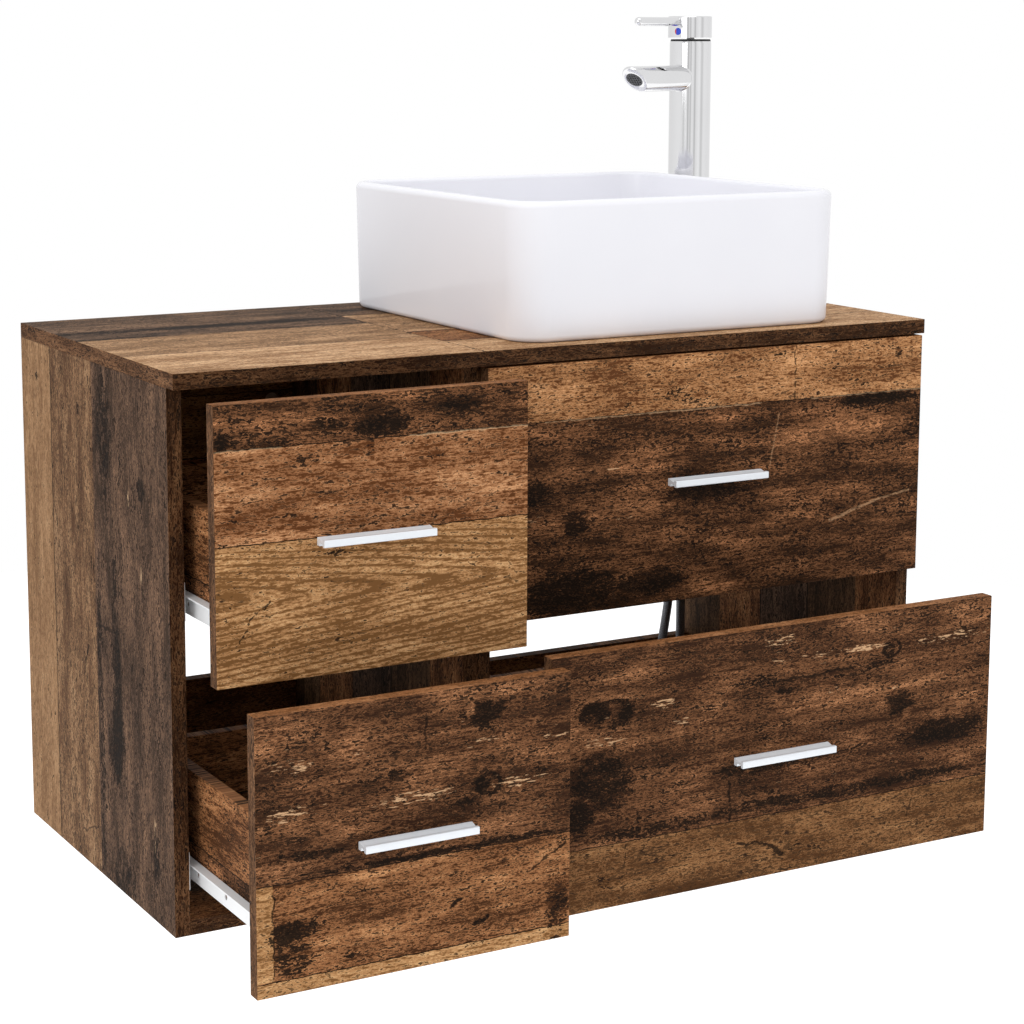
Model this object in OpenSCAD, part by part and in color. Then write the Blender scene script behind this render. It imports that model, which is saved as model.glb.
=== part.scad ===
// Wall-hung bathroom vanity: a narrow cabinet with two drawers and a sink cabinet with two
// drawers stand side by side, with a square vessel basin on top and a tall mixer tap at its
// rear corner. Lengths are in millimetres, X runs to the right, Y towards the wall and Z up.
// The origin is the middle of the wall fixing holes, on the face that meets the wall.

/* [Cabinets] */
// Width of the narrow cabinet on the left
narrow_w = 300; // [280:5:340]
// Width of the sink cabinet on the right
sink_w = 500; // [490:5:560]
// Depth from the front edge of the top to the wall
depth = 400; // [395:1:420]
// Height of the cabinets
cabinet_h = 500; // [495:1:510]
// Thickness of the boards
board = 14; // [13:0.5:15]
// How far the side panels stand back from the front edge of the top
side_setback = 16; // [15:0.5:18]
// Height of the narrow cabinet's lower rear rail
narrow_rail_h = 106; // [80:1:120]
// Height of the sink cabinet's lower rear rail
sink_rail_h = 80; // [70:1:100]

/* [Drawers] */
// Height of each drawer front
front_h = 237; // [230:1:238]
// Gap beside a drawer front
front_gap = 2.5; // [2:0.5:3]
// Thickness of a drawer box's sides and back
box_t = 12; // [10:1:13]
// Height of a drawer box's sides
box_h = 98; // [90:1:110]
// Length of a drawer box and of its runners
box_l = 300; // [280:5:300]
// How far the upper left drawer stands open
upper_left_open = 80; // [0:1:225]
// How far the lower left drawer stands open
lower_left_open = 155; // [0:1:225]
// How far the lower right drawer stands open
lower_right_open = 115; // [0:1:225]

/* [Handles] */
// Length of a bar handle
handle_l = 106; // [100:1:140]
// Distance between a handle's two screws
handle_pitch = 96; // [64:32:96]

/* [Basin] */
// Width of the basin at its rim
basin_w = 366; // [350:1:372]
// Depth of the basin at its rim
basin_d = 370; // [350:1:374]
// Height of the basin
basin_h = 130; // [110:1:150]
// Radius of the basin's upright corners
basin_r = 38; // [30:1:50]
// Wall thickness at the rim
basin_wall = 11; // [9:1:14]

/* [Tap] */
// Diameter of the tap's column
tap_d = 45.5; // [44:0.5:50]
// Height of the tap above the top
tap_h = 299; // [250:1:320]
// Diameter of the spout
spout_d = 27.5; // [24:0.5:30]
// Reach of the spout from the column's axis
spout_reach = 124; // [110:1:140]
// Angle by which the spout turns from the cabinet's width towards its front
spout_turn = 23; // [0:1:45]

/* [Hidden] */

$fn = 64;
eps = 0.01;
wood = [0.45, 0.31, 0.20];
box_wood = [0.60, 0.44, 0.29];
epoxy_white = [0.93, 0.93, 0.92];
steel = [0.70, 0.70, 0.72];
chrome = [0.82, 0.83, 0.85];
glaze = [0.96, 0.96, 0.97];

// Cabinets: index 0 is the narrow one and 1 the sink cabinet
NARROW = 0;
SINK = 1;
top_z = cabinet_h - board;
rail_y = depth - board;
upper_rail_h = 160;
upper_rail_z = top_z - upper_rail_h;
hang_lift = 94;
hang_z = upper_rail_z + hang_lift;
function cab_x(c) = c == NARROW ? 0 : narrow_w;
function cab_w(c) = c == NARROW ? narrow_w : sink_w;
function rail_h(c) = c == NARROW ? narrow_rail_h : sink_rail_h;
// Outer face and inner face of side s (0 left, 1 right) of cabinet c, and which way is inward
function side_x(c, s) = cab_x(c) + (s == 0 ? 0 : cab_w(c) - board);
function inner_x(c, s) = cab_x(c) + (s == 0 ? board : cab_w(c) - board);
function inward(s) = s == 0 ? 1 : -1;

// Wall fixing holes, a rectangle across both upper rails
wall_hole_r = 3;
wall_pitch_x = 640;
wall_pitch_z = 70;

// Dowels, cam locks and connectors
dowel_d = 6;
dowel_short = 9;
dowel_long = 15;
dowel_stations = [70, 340];
cam_station = 205;
cam_d = 15;
cam_depth = 11;
cam_reach = 24;
cam_bolt_d = 6;
cam_bolt_in = 9;
cam_clear = 0.2;
rail_dowel_inset = 14;
connector_d = 8;
connector_head_d = 12;
connector_head_t = 1.5;
connector_places = [[45, 215], [45, 440], [352, 215], [352, 300]];

// Drawers: index 0 to 3 is upper left, lower left, upper right, lower right
UL = 0;
LL = 1;
UR = 2;
LR = 3;
function drawer_cab(d) = d < UR ? NARROW : SINK;
function is_upper(d) = d == UL || d == UR;
function drawer_open(d) = [upper_left_open, lower_left_open, 0, lower_right_open][d];
lower_front_z = 6;
upper_front_z = 247;
lower_box_z = 43;
upper_box_z = 284;
function front_z(d) = is_upper(d) ? upper_front_z : lower_front_z;
function box_z(d) = is_upper(d) ? upper_box_z : lower_box_z;
runner_gap = 12.5;
base_t = 3;
base_lift = 10;
groove = 6;
function box_x(d) = cab_x(drawer_cab(d)) + board + runner_gap;
function box_w(d) = cab_w(drawer_cab(d)) - 2 * (board + runner_gap);
box_y = board;
back_drop = 4;

// Runners: sheet steel of one thickness, with a roller at the front of each cabinet member
// and at the rear of each drawer member
sheet = 1.2;
web_h = 18.5;
rail_web_h = 34;
roller_r = 7;
roller_w = 5;
roller_side = 2;
axle_r = 2;
runner_front = 18;
screw_r = 1.6;
screw_l = 9;
screw_head_r = 3.2;
screw_head_t = 1.2;
rail_screw_y = [50, 250];
rail_slot_y = [90, 150, 210];
rail_screw_z = 24;
web_hole_y = [41, 103, 165, 227];
web_hole_z = 8;
web_hole_r = 2.6;
web_screw_y = [20, 202, 278];
web_screw_z = 7;

// Drain notch in the upper right drawer
notch_w = 120;
notch_front = 142;

// Handles
handle_drop = 4.4;
handle_out = 14.5;
left_handle_shift = -2.5;
handle_screw_r = 2;
handle_screw_lift = 2.3;
screw_play = 0.25;

// Basin and drain
basin_x = 530;
basin_y = 202;
basin_draft = 2.6;
basin_floor = 18;
drain_seat = 13;
drain_hole_r = 22.5;
drain_thread_r = 21;
drain_tail_r = 16;
drain_tail_bottom = 405;
drain_thread_bottom = 455;
stem_r = 4;

// Tap
tap_x = 760;
tap_y = 362;
tap_r = tap_d / 2;
tap_hole_r = 17.5;
gasket_t = 1.5;
tap_base = cabinet_h + gasket_t;
spout_z = cabinet_h + 232;
lever_z = cabinet_h + 293;
lever_tip = 106;
lever_r = 4.75;
// The cartridge's pivot: the stem tilts about it inside a domed crown
pivot_z = cabinet_h + 265;
crown_r = tap_r + 0.45;
crown_top = pivot_z + 9;
cap_bottom = pivot_z + 10.5;
cap_r = 24;
cap_inner_r = 21;
cap_shift = 1.6;
hose_bore_top = 545;
cartridge_r = 15.9;
pin_r = 1.6;
blade = 6;
stem_top = 28;
cartridge_foot = 12;
running = 0.05;

// Hoses: each route leaves a ferrule under the tap and hangs to its nut
hose_r = 5;
ferrule_r = 6;
ferrule_bottom = 468;
ferrule_top = 542;
hot_route = [
    [754, 366, 468], [754, 366, 450], [754, 366, 430], [753, 366, 406], [752, 367, 382],
    [751, 367, 358], [750, 368, 334], [749, 368, 310], [748, 369, 286], [747.5, 369, 262],
    [747.5, 369, 238], [747.5, 369, 214], [747.5, 369, 190], [747, 369, 166], [745.5, 369, 142],
    [742, 369, 119], [738, 368, 100], [736, 368, 87], [736, 368, 76]
];
cold_route = [
    [766, 359, 468], [766, 359, 450], [766, 359, 430], [766, 360, 406], [765, 361, 382],
    [764, 362, 358], [763, 363, 334], [762.5, 364, 310], [762, 365, 286], [762, 366, 262],
    [761.5, 367, 238], [761, 367, 214], [761, 367, 190], [761, 367, 166], [761, 367, 142],
    [761, 367, 118], [761, 367, 94], [761, 367, 64]
];
nut_h = 14;
nut_r = 9.5;
nut_thread_r = 7.6;
nut_thread_l = 10;

// Cabinet frame: moves a shape from the front bottom left corner to the origin
module placed() {
    translate([-(narrow_w + sink_w) / 2, -depth, -hang_z]) children();
}

// Tap frame: local X points along the spout and the lever
module at_tap(z) {
    translate([tap_x, tap_y, z]) rotate([0, 0, 180 + spout_turn]) children();
}

module slab(x, y, z, w, d, h) {
    translate([x, y, z]) cube([w, d, h]);
}

// ---------- Fasteners of the cabinets ----------

// Depth and height of the dowels that join a side to the bottom and the rails
function dowel_places(c) = [
    [dowel_stations[0], board / 2], [dowel_stations[1], board / 2],
    [rail_y + board / 2, upper_rail_z + rail_dowel_inset],
    [rail_y + board / 2, top_z - rail_dowel_inset],
    [rail_y + board / 2, board + rail_dowel_inset],
    [rail_y + board / 2, board + rail_h(c) - rail_dowel_inset]
];

module cabinet_dowels(c) {
    for (s = [0, 1]) {
        for (p = dowel_places(c))
            translate([inner_x(c, s) - inward(s) * dowel_short, p[0], p[1]])
                rotate([0, inward(s) * 90, 0])
                    cylinder(d = dowel_d, h = dowel_short + dowel_long);
        for (y = dowel_stations)
            translate([side_x(c, s) + board / 2, y, top_z - dowel_long])
                cylinder(d = dowel_d, h = dowel_short + dowel_long);
    }
}

module cam_bolt() {
    translate([0, 0, -cam_bolt_in])
        cylinder(d = cam_bolt_d, h = cam_bolt_in + cam_reach - cam_d / 2 - cam_clear);
}

module cam_disc() {
    cylinder(d = cam_d, h = cam_depth);
}

module cabinet_cams(c) {
    upper_mid = upper_rail_z + upper_rail_h / 2;
    lower_mid = board + rail_h(c) / 2;
    for (s = [0, 1]) {
        reach_x = inner_x(c, s) + inward(s) * cam_reach;
        translate([inner_x(c, s), cam_station, board / 2]) rotate([0, inward(s) * 90, 0]) cam_bolt();
        translate([reach_x, cam_station, 0]) cam_disc();
        for (z = [upper_mid, lower_mid]) {
            translate([inner_x(c, s), rail_y + board / 2, z])
                rotate([0, inward(s) * 90, 0]) cam_bolt();
            translate([reach_x, rail_y, z]) rotate([-90, 0, 0]) cam_disc();
        }
        translate([side_x(c, s) + board / 2, cam_station, top_z]) rotate([180, 0, 0]) cam_bolt();
        translate([inner_x(c, s), cam_station, top_z - cam_reach])
            rotate([0, -inward(s) * 90, 0]) cam_disc();
    }
}

module connector_holes() {
    for (p = connector_places)
        translate([narrow_w - board - eps, p[0], p[1]]) rotate([0, 90, 0])
            cylinder(d = connector_d, h = 2 * board + 2 * eps);
}

module dowels() {
    color([0.85, 0.72, 0.52]) placed() for (c = [NARROW, SINK]) cabinet_dowels(c);
}

module cam_locks() {
    color(steel) placed() for (c = [NARROW, SINK]) cabinet_cams(c);
}

module cabinet_connectors() {
    color(steel) placed() for (p = connector_places)
        translate([narrow_w - board, p[0], p[1]]) rotate([0, 90, 0]) {
            cylinder(d = connector_d, h = 2 * board);
            for (z = [-connector_head_t, 2 * board])
                translate([0, 0, z]) cylinder(d = connector_head_d, h = connector_head_t);
        }
}

// ---------- Cabinet boards ----------

module cabinet_side(c, s) {
    color(wood) placed() difference() {
        slab(side_x(c, s), side_setback, 0, board, depth - side_setback, top_z);
        cabinet_dowels(c);
        cabinet_cams(c);
        if (s != c) connector_holes();
        for (d = [c == NARROW ? UL : UR, c == NARROW ? LL : LR]) rail_screws(d, s);
    }
}

module cabinet_bottom(c) {
    color(wood) placed() difference() {
        slab(cab_x(c) + board, side_setback, 0, cab_w(c) - 2 * board, depth - side_setback, board);
        cabinet_dowels(c);
        cabinet_cams(c);
    }
}

module cabinet_top(c) {
    color(wood) placed() difference() {
        slab(cab_x(c), 0, top_z, cab_w(c), depth, board);
        cabinet_dowels(c);
        cabinet_cams(c);
        if (c == SINK) {
            translate([basin_x, basin_y, top_z - 1]) cylinder(r = drain_hole_r, h = board + 2);
            translate([tap_x, tap_y, top_z - 1]) cylinder(r = tap_hole_r, h = board + 2);
        }
    }
}

module cabinet_rail(c, z, h) {
    color(wood) placed() difference() {
        slab(cab_x(c) + board, rail_y, z, cab_w(c) - 2 * board, board, h);
        cabinet_dowels(c);
        cabinet_cams(c);
        if (z == upper_rail_z)
            for (x = [-1, 1], dz = [-1, 1])
                translate([(narrow_w + sink_w + x * wall_pitch_x) / 2, rail_y - 1,
                        hang_z + dz * wall_pitch_z / 2])
                    rotate([-90, 0, 0]) cylinder(r = wall_hole_r, h = board + 2);
    }
}

module narrow_left_side() { cabinet_side(NARROW, 0); }
module narrow_right_side() { cabinet_side(NARROW, 1); }
module narrow_top() { cabinet_top(NARROW); }
module narrow_bottom() { cabinet_bottom(NARROW); }
module narrow_upper_rail() { cabinet_rail(NARROW, upper_rail_z, upper_rail_h); }
module narrow_lower_rail() { cabinet_rail(NARROW, board, narrow_rail_h); }
module sink_left_side() { cabinet_side(SINK, 0); }
module sink_right_side() { cabinet_side(SINK, 1); }
module sink_top() { cabinet_top(SINK); }
module sink_bottom() { cabinet_bottom(SINK); }
module sink_upper_rail() { cabinet_rail(SINK, upper_rail_z, upper_rail_h); }
module sink_lower_rail() { cabinet_rail(SINK, board, sink_rail_h); }

// ---------- Runners ----------

// Cross-section frame of drawer d's runner on side s: local X runs from the cabinet side
// towards the drawer, local Z is height above the drawer box's lower edge
module runner_frame(d, s, y) {
    c = drawer_cab(d);
    translate([inner_x(c, s), y, box_z(d)]) mirror([s, 0, 0]) children();
}

module roller(x, z) {
    translate([x, 0, z]) rotate([0, 90, 0]) difference() {
        cylinder(r = roller_r, h = roller_w);
        translate([0, 0, -1]) cylinder(r = axle_r + running, h = roller_w + 2);
    }
}

module axle(x0, x1, z) {
    translate([x0, 0, z]) rotate([0, 90, 0]) cylinder(r = axle_r, h = x1 - x0);
}

// A hole through a runner's upright web, whose outer face is at x
module web_bore(x, y, z, r) {
    translate([x - 1, y, z]) rotate([0, 90, 0]) cylinder(r = r, h = sheet + 2);
}

// Screws that hold the cabinet member of drawer d's runner to side s
module rail_screws(d, s) {
    for (y = rail_screw_y)
        runner_frame(d, s, runner_front + y) translate([0, 0, rail_screw_z]) rotate([0, 90, 0]) {
            translate([0, 0, sheet]) cylinder(r = screw_head_r, h = screw_head_t);
            translate([0, 0, -screw_l]) cylinder(r = screw_r, h = screw_l + sheet);
        }
}

// Cabinet member: a web with a channel along its foot, and a roller near the front
module cabinet_member(d, s) {
    lip_x = 7.8;
    lip_h = 5;
    foot_z = -2;
    roof_z = 14.2;
    foot_start = 22;
    roof_start = 46;
    roller_y = 31;
    roller_z = 10;
    runner_frame(d, s, runner_front) difference() {
        union() {
            slab(0, 0, foot_z, sheet, box_l, rail_web_h);
            slab(0, foot_start, foot_z, lip_x + sheet, box_l - foot_start, sheet);
            slab(lip_x, foot_start, foot_z, sheet, box_l - foot_start, lip_h);
            slab(0, roof_start, roof_z, roller_side + roller_w, box_l - roof_start, sheet);
        }
        for (y = rail_screw_y) web_bore(0, y, rail_screw_z, screw_r);
        for (y = rail_slot_y) web_bore(0, y, rail_screw_z, screw_head_r);
    }
    runner_frame(d, s, runner_front + roller_y) {
        roller(roller_side, roller_z);
        axle(sheet, roller_side + roller_w, roller_z);
    }
    rail_screws(d, s);
}

// Screws that hold the drawer member of drawer d's runner to the drawer's side s
module web_screws_of(d, s) {
    for (y = web_screw_y)
        runner_frame(d, s, box_y + y - drawer_open(d))
            translate([runner_gap - sheet, 0, web_screw_z]) rotate([0, 90, 0]) {
                translate([0, 0, -screw_head_t]) cylinder(r = screw_head_r, h = screw_head_t);
                cylinder(r = screw_r, h = screw_l + sheet);
            }
}

// Drawer member: a web on the drawer side, a foot under it and a flange that runs on the
// cabinet member's roller, with its own roller at the rear
module drawer_member(d, s) {
    web_x = runner_gap - sheet;
    flange_x = 4;
    roller_back = 8;
    roller_z = 6.5;
    runner_frame(d, s, box_y - drawer_open(d)) difference() {
        union() {
            slab(web_x, 0, -sheet, sheet, box_l, web_h + sheet);
            slab(web_x, 0, -sheet, sheet + box_t - 1, box_l, sheet);
            slab(flange_x, flange_x, web_h - sheet, web_x - flange_x + eps, box_l - flange_x, sheet);
        }
        for (y = web_hole_y) web_bore(web_x, y, web_hole_z, web_hole_r);
        for (y = web_screw_y) web_bore(web_x, y, web_screw_z, screw_r);
    }
    runner_frame(d, s, box_y + box_l - roller_back - drawer_open(d)) {
        roller(roller_side, roller_z);
        axle(roller_side, web_x, roller_z);
    }
    web_screws_of(d, s);
}

module cabinet_runners(upper, lower) {
    color(epoxy_white) placed() for (d = [upper, lower], s = [0, 1]) cabinet_member(d, s);
}

module narrow_runners() { cabinet_runners(UL, LL); }
module sink_runners() { cabinet_runners(UR, LR); }

// ---------- Drawers ----------

function handle_x(d) = cab_x(drawer_cab(d)) + cab_w(drawer_cab(d)) / 2
    + (drawer_cab(d) == NARROW ? left_handle_shift : 0);
function handle_z(d) = front_z(d) + front_h / 2 - handle_drop;

module drawer_frame(d) {
    placed() translate([0, -drawer_open(d), 0]) children();
}

// The drawer's base: a thin board in grooves of the sides and the front
module base_shape(d, extra) {
    x0 = box_x(d) + box_t - groove;
    w = box_w(d) - 2 * (box_t - groove);
    difference() {
        slab(x0 - extra, board - groove - extra, box_z(d) + base_lift, w + 2 * extra,
            groove + box_l + extra, base_t);
        if (d == UR)
            slab(basin_x - notch_w / 2 + extra, notch_front + extra, box_z(d), notch_w - 2 * extra,
                box_l, 2 * base_lift);
    }
}

module drawer_front(d) {
    c = drawer_cab(d);
    color(wood) drawer_frame(d) difference() {
        slab(cab_x(c) + front_gap, 0, front_z(d), cab_w(c) - 2 * front_gap, board, front_h);
        base_shape(d, 0);
        for (x = [-1, 1])
            translate([handle_x(d) + x * handle_pitch / 2, -1, handle_z(d) + handle_screw_lift])
                rotate([-90, 0, 0]) cylinder(r = handle_screw_r + screw_play, h = board + 2);
    }
}

module drawer_sides(d) {
    color(box_wood) drawer_frame(d) difference() {
        for (x = [box_x(d), box_x(d) + box_w(d) - box_t])
            slab(x, box_y, box_z(d), box_t, box_l, box_h);
        base_shape(d, 0);
        for (s = [0, 1]) translate([0, drawer_open(d), 0]) web_screws_of(d, s);
    }
}

module drawer_back(d) {
    z0 = box_z(d) + base_lift + base_t;
    color(box_wood) drawer_frame(d) difference() {
        slab(box_x(d) + box_t, box_y + box_l - box_t, z0, box_w(d) - 2 * box_t, box_t,
            box_h - base_lift - base_t - back_drop);
        if (d == UR)
            slab(basin_x - notch_w / 2 - box_t, box_y, 0, notch_w + 2 * box_t, 2 * box_l,
                cabinet_h);
    }
}

module drawer_base(d) {
    color([0.80, 0.78, 0.74]) drawer_frame(d) base_shape(d, 0);
}

// Three boards round the notch that clears the drain
module upper_right_notch() {
    z0 = upper_box_z + base_lift + base_t;
    h = box_h - base_lift - base_t - back_drop;
    notch_l = box_y + box_l - notch_front;
    color(box_wood) drawer_frame(UR) {
        slab(basin_x - notch_w / 2 - box_t, notch_front, z0, box_t, notch_l, h);
        slab(basin_x + notch_w / 2, notch_front, z0, box_t, notch_l, h);
        slab(basin_x - notch_w / 2 - box_t, notch_front - box_t, z0, notch_w + 2 * box_t, box_t, h);
    }
}

// Bar handle: a rear leg, a sloping top, a groove and a front lip, with two screws from inside
module bar_handle(d) {
    head_t = 2.2;
    thread_in = 3.8;
    color([0.88, 0.89, 0.91]) drawer_frame(d) translate([handle_x(d), 0, handle_z(d)]) {
        difference() {
            rotate([90, 0, -90]) translate([0, 0, -handle_l / 2]) linear_extrude(handle_l)
                polygon([[0, 0], [0, 6.9], [0.6, 7.1], [2, 7.1], [8.6, 4.9], [9.6, 4.9],
                    [10.3, 6.5], [14, 6.5], [handle_out, 6], [handle_out, 0.6], [13.9, 0],
                    [11, 0], [10.4, 2.6], [5.4, 2.6], [4.6, 0]]);
            for (x = [-1, 1])
                translate([x * handle_pitch / 2, -thread_in, handle_screw_lift])
                    rotate([-90, 0, 0]) cylinder(r = handle_screw_r, h = thread_in + 1);
        }
        for (x = [-1, 1])
            translate([x * handle_pitch / 2, 0, handle_screw_lift]) rotate([-90, 0, 0]) {
                translate([0, 0, -thread_in]) cylinder(r = handle_screw_r, h = thread_in + board);
                translate([0, 0, board]) cylinder(r = 2 * handle_screw_r, h = head_t);
            }
    }
}

module drawer_runners(d) {
    color(epoxy_white) placed() for (s = [0, 1]) drawer_member(d, s);
}

module upper_left_front() { drawer_front(UL); }
module upper_left_sides() { drawer_sides(UL); }
module upper_left_back() { drawer_back(UL); }
module upper_left_base() { drawer_base(UL); }
module upper_left_handle() { bar_handle(UL); }
module upper_left_runners() { drawer_runners(UL); }
module lower_left_front() { drawer_front(LL); }
module lower_left_sides() { drawer_sides(LL); }
module lower_left_back() { drawer_back(LL); }
module lower_left_base() { drawer_base(LL); }
module lower_left_handle() { bar_handle(LL); }
module lower_left_runners() { drawer_runners(LL); }
module upper_right_front() { drawer_front(UR); }
module upper_right_sides() { drawer_sides(UR); }
module upper_right_back() { drawer_back(UR); }
module upper_right_base() { drawer_base(UR); }
module upper_right_handle() { bar_handle(UR); }
module upper_right_runners() { drawer_runners(UR); }
module lower_right_front() { drawer_front(LR); }
module lower_right_sides() { drawer_sides(LR); }
module lower_right_back() { drawer_back(LR); }
module lower_right_base() { drawer_base(LR); }
module lower_right_handle() { bar_handle(LR); }
module lower_right_runners() { drawer_runners(LR); }

// ---------- Basin and drain ----------

module at_basin(z) {
    placed() translate([basin_x, basin_y, z]) children();
}

// Four tapered corner posts, joined into one block with rounded upright corners
module corner_posts(w, d, r_low, r_top, z, h) {
    for (x = [-1, 1], y = [-1, 1])
        translate([x * (w / 2 - r_top), y * (d / 2 - r_top), z])
            cylinder(r1 = r_low, r2 = r_top, h = h, $fn = 32);
}

module basin() {
    inner_w = basin_w - 2 * basin_wall;
    inner_d = basin_d - 2 * basin_wall;
    inner_r = basin_r - basin_wall;
    floor_r = 20;
    seat_r = 33;
    dish_r = 136;
    dish_h = basin_floor - drain_seat + 0.3;
    color(glaze) at_basin(cabinet_h) difference() {
        hull() corner_posts(basin_w, basin_d, basin_r - basin_draft, basin_r, 0, basin_h);
        hull() {
            corner_posts(inner_w, inner_d, inner_r - 4, inner_r, basin_floor + floor_r,
                basin_h - basin_floor - floor_r + 1);
            for (x = [-1, 1], y = [-1, 1])
                translate([x * (inner_w / 2 - inner_r - 3), y * (inner_d / 2 - inner_r - 3),
                        basin_floor + floor_r])
                    sphere(r = floor_r, $fn = 32);
        }
        translate([0, 0, drain_seat]) cylinder(r1 = seat_r, r2 = dish_r, h = dish_h);
        translate([0, 0, drain_seat - 2]) cylinder(r = seat_r, h = 3);
        translate([0, 0, -1]) cylinder(r = drain_hole_r, h = basin_h);
    }
}

// Waste body: a flange in the bowl, a threaded throat through the top and a tail for the trap
module drain_body() {
    flange_z = cabinet_h + drain_seat - 2;
    flange_t = 2;
    throat_r = 18;
    web_t = 3;
    web_z = drain_thread_bottom + 6;
    color(chrome) at_basin(0) {
        difference() {
            union() {
                translate([0, 0, flange_z]) cylinder(r = 32, h = flange_t);
                translate([0, 0, drain_thread_bottom])
                    cylinder(r = drain_thread_r, h = flange_z - drain_thread_bottom + eps);
                translate([0, 0, drain_tail_bottom])
                    cylinder(r = drain_tail_r, h = drain_thread_bottom - drain_tail_bottom + eps);
            }
            translate([0, 0, drain_thread_bottom + 3]) cylinder(r = throat_r, h = 100);
            translate([0, 0, drain_tail_bottom - 1]) cylinder(r = drain_tail_r - 1.5, h = 100);
        }
        difference() {
            union() {
                translate([0, 0, web_z]) cylinder(r = stem_r + 2, h = 14);
                for (a = [0, 120, 240])
                    rotate([0, 0, a]) translate([stem_r + 1, -web_t / 2, web_z])
                        cube([throat_r - stem_r - 0.5, web_t, 6]);
            }
            translate([0, 0, web_z - 1]) cylinder(r = stem_r + running, h = 20);
        }
    }
}

// Push-up plug: a low dome over the flange on a stem in the waste body's guide
module drain_plug() {
    plug_z = cabinet_h + drain_seat + 0.3;
    color(chrome) at_basin(0) {
        translate([0, 0, plug_z]) rotate_extrude()
            polygon([[0, 0], [30, 0], [31, 1], [31, 2.4], [29.5, 3.6], [24, 4.4], [12, 5], [0, 5.2]]);
        translate([0, 0, drain_thread_bottom + 8])
            cylinder(r = stem_r, h = plug_z - drain_thread_bottom - 8 + eps);
    }
}

module drain_locknut() {
    nut_t = 12;
    color([0.30, 0.30, 0.31]) at_basin(top_z - nut_t) difference() {
        union() {
            cylinder(r = 30, h = nut_t);
            for (a = [0 : 45 : 315]) rotate([0, 0, a]) translate([28, -4, 0]) cube([5, 8, nut_t]);
        }
        translate([0, 0, -1]) cylinder(r = drain_thread_r + running, h = nut_t + 2);
    }
}

// ---------- Tap ----------

// Column with a domed crown, and a spout whose end is cut on a slant for the aerator
module tap_body() {
    water_r = 5;
    hose_bore_r = 16.5;
    nozzle_r = 9.3;
    color(chrome) placed() difference() {
        union() {
            at_tap(tap_base) cylinder(r = tap_r, h = pivot_z + 4 - tap_base);
            intersection() {
                at_tap(pivot_z) sphere(r = crown_r);
                at_tap(pivot_z + 3.9) cylinder(r = tap_r, h = crown_top - pivot_z - 3.9);
            }
            at_tap(spout_z) rotate([0, 90, 0]) cylinder(d = spout_d, h = spout_reach);
        }
        at_tap(spout_z) translate([spout_reach, 0, spout_d / 2])
            rotate([0, 45, 0]) translate([0, -25, -60]) cube([40, 50, 90]);
        spout_end() translate([0, 0, -12]) cylinder(r = nozzle_r, h = 20);
        at_tap(spout_z) rotate([0, 90, 0]) cylinder(r = nozzle_r, h = spout_reach - 30);
        at_tap(pivot_z - cartridge_foot - running) cylinder(r = cartridge_r + running, h = 60);
        at_tap(tap_base - 1) cylinder(r = hose_bore_r, h = hose_bore_top - tap_base + 1);
        at_tap(hose_bore_top - 1) cylinder(r = water_r, h = pivot_z - hose_bore_top);
    }
}

// Frame on the slanted end of the spout: local Z points out of it, forwards and down
module spout_end() {
    at_tap(spout_z) translate([spout_reach - spout_d / 2 - 1, 0, -1]) rotate([0, 135, 0]) children();
}

module tap_aerator() {
    color([0.25, 0.25, 0.26]) placed() spout_end() difference() {
        translate([0, 0, -9]) cylinder(r = 9.25, h = 9);
        for (x = [-6 : 3 : 6], y = [-6 : 3 : 6])
            if (norm([x, y]) < 7.5) translate([x, y, -10]) cylinder(r = 0.9, h = 12, $fn = 16);
    }
}

module tap_gasket() {
    color([0.12, 0.12, 0.12]) placed() at_tap(cabinet_h) difference() {
        cylinder(r = tap_r - 0.5, h = gasket_t);
        translate([0, 0, -1]) cylinder(r = 17, h = gasket_t + 2);
    }
}

// Frame under the top, turned so that local X points away from the fixing stud
module under_tap(z) {
    fixing_turn = 64;
    translate([tap_x, tap_y, z]) rotate([0, 0, fixing_turn]) children();
}

// Fixing set under the top: a horseshoe plate, a stud into the tap's body and its nut
module tap_fixing() {
    plate_t = 2.5;
    stud_r = 2.5;
    stud_x = -13.5;
    stud_foot = top_z - 22;
    color(steel) placed() {
        under_tap(top_z - plate_t) difference() {
            cylinder(r = 22, h = plate_t);
            translate([5, 0, -1]) cylinder(r = 15, h = plate_t + 2);
            translate([5, -15, -1]) cube([30, 30, plate_t + 2]);
            translate([stud_x, 0, -1]) cylinder(r = stud_r, h = plate_t + 2);
        }
        under_tap(stud_foot) translate([stud_x, 0, 0])
            cylinder(r = stud_r, h = hose_bore_top - stud_foot);
        under_tap(top_z - plate_t - 6) translate([stud_x, 0, 0]) cylinder(r = 5.5, h = 6, $fn = 6);
    }
}

// Cartridge: turns in the column and carries the stem's pivot pin in a slot
module tap_cartridge() {
    slot_w = 6.2;
    slot_l = 17;
    color([0.85, 0.85, 0.83]) placed() at_tap(pivot_z - cartridge_foot) difference() {
        cylinder(r = cartridge_r, h = cartridge_foot + 4);
        translate([-slot_l / 2, -slot_w / 2, 2]) cube([slot_l, slot_w, 20]);
        translate([0, -12, cartridge_foot]) rotate([-90, 0, 0]) cylinder(r = pin_r + running, h = 24);
    }
}

module tap_stem() {
    color(steel) placed() at_tap(pivot_z) {
        translate([-blade / 2, -blade / 2, -5]) cube([blade, blade, stem_top + 5]);
        rotate([90, 0, 0]) translate([0, 0, -10]) cylinder(r = pin_r, h = 20);
    }
}

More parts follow.
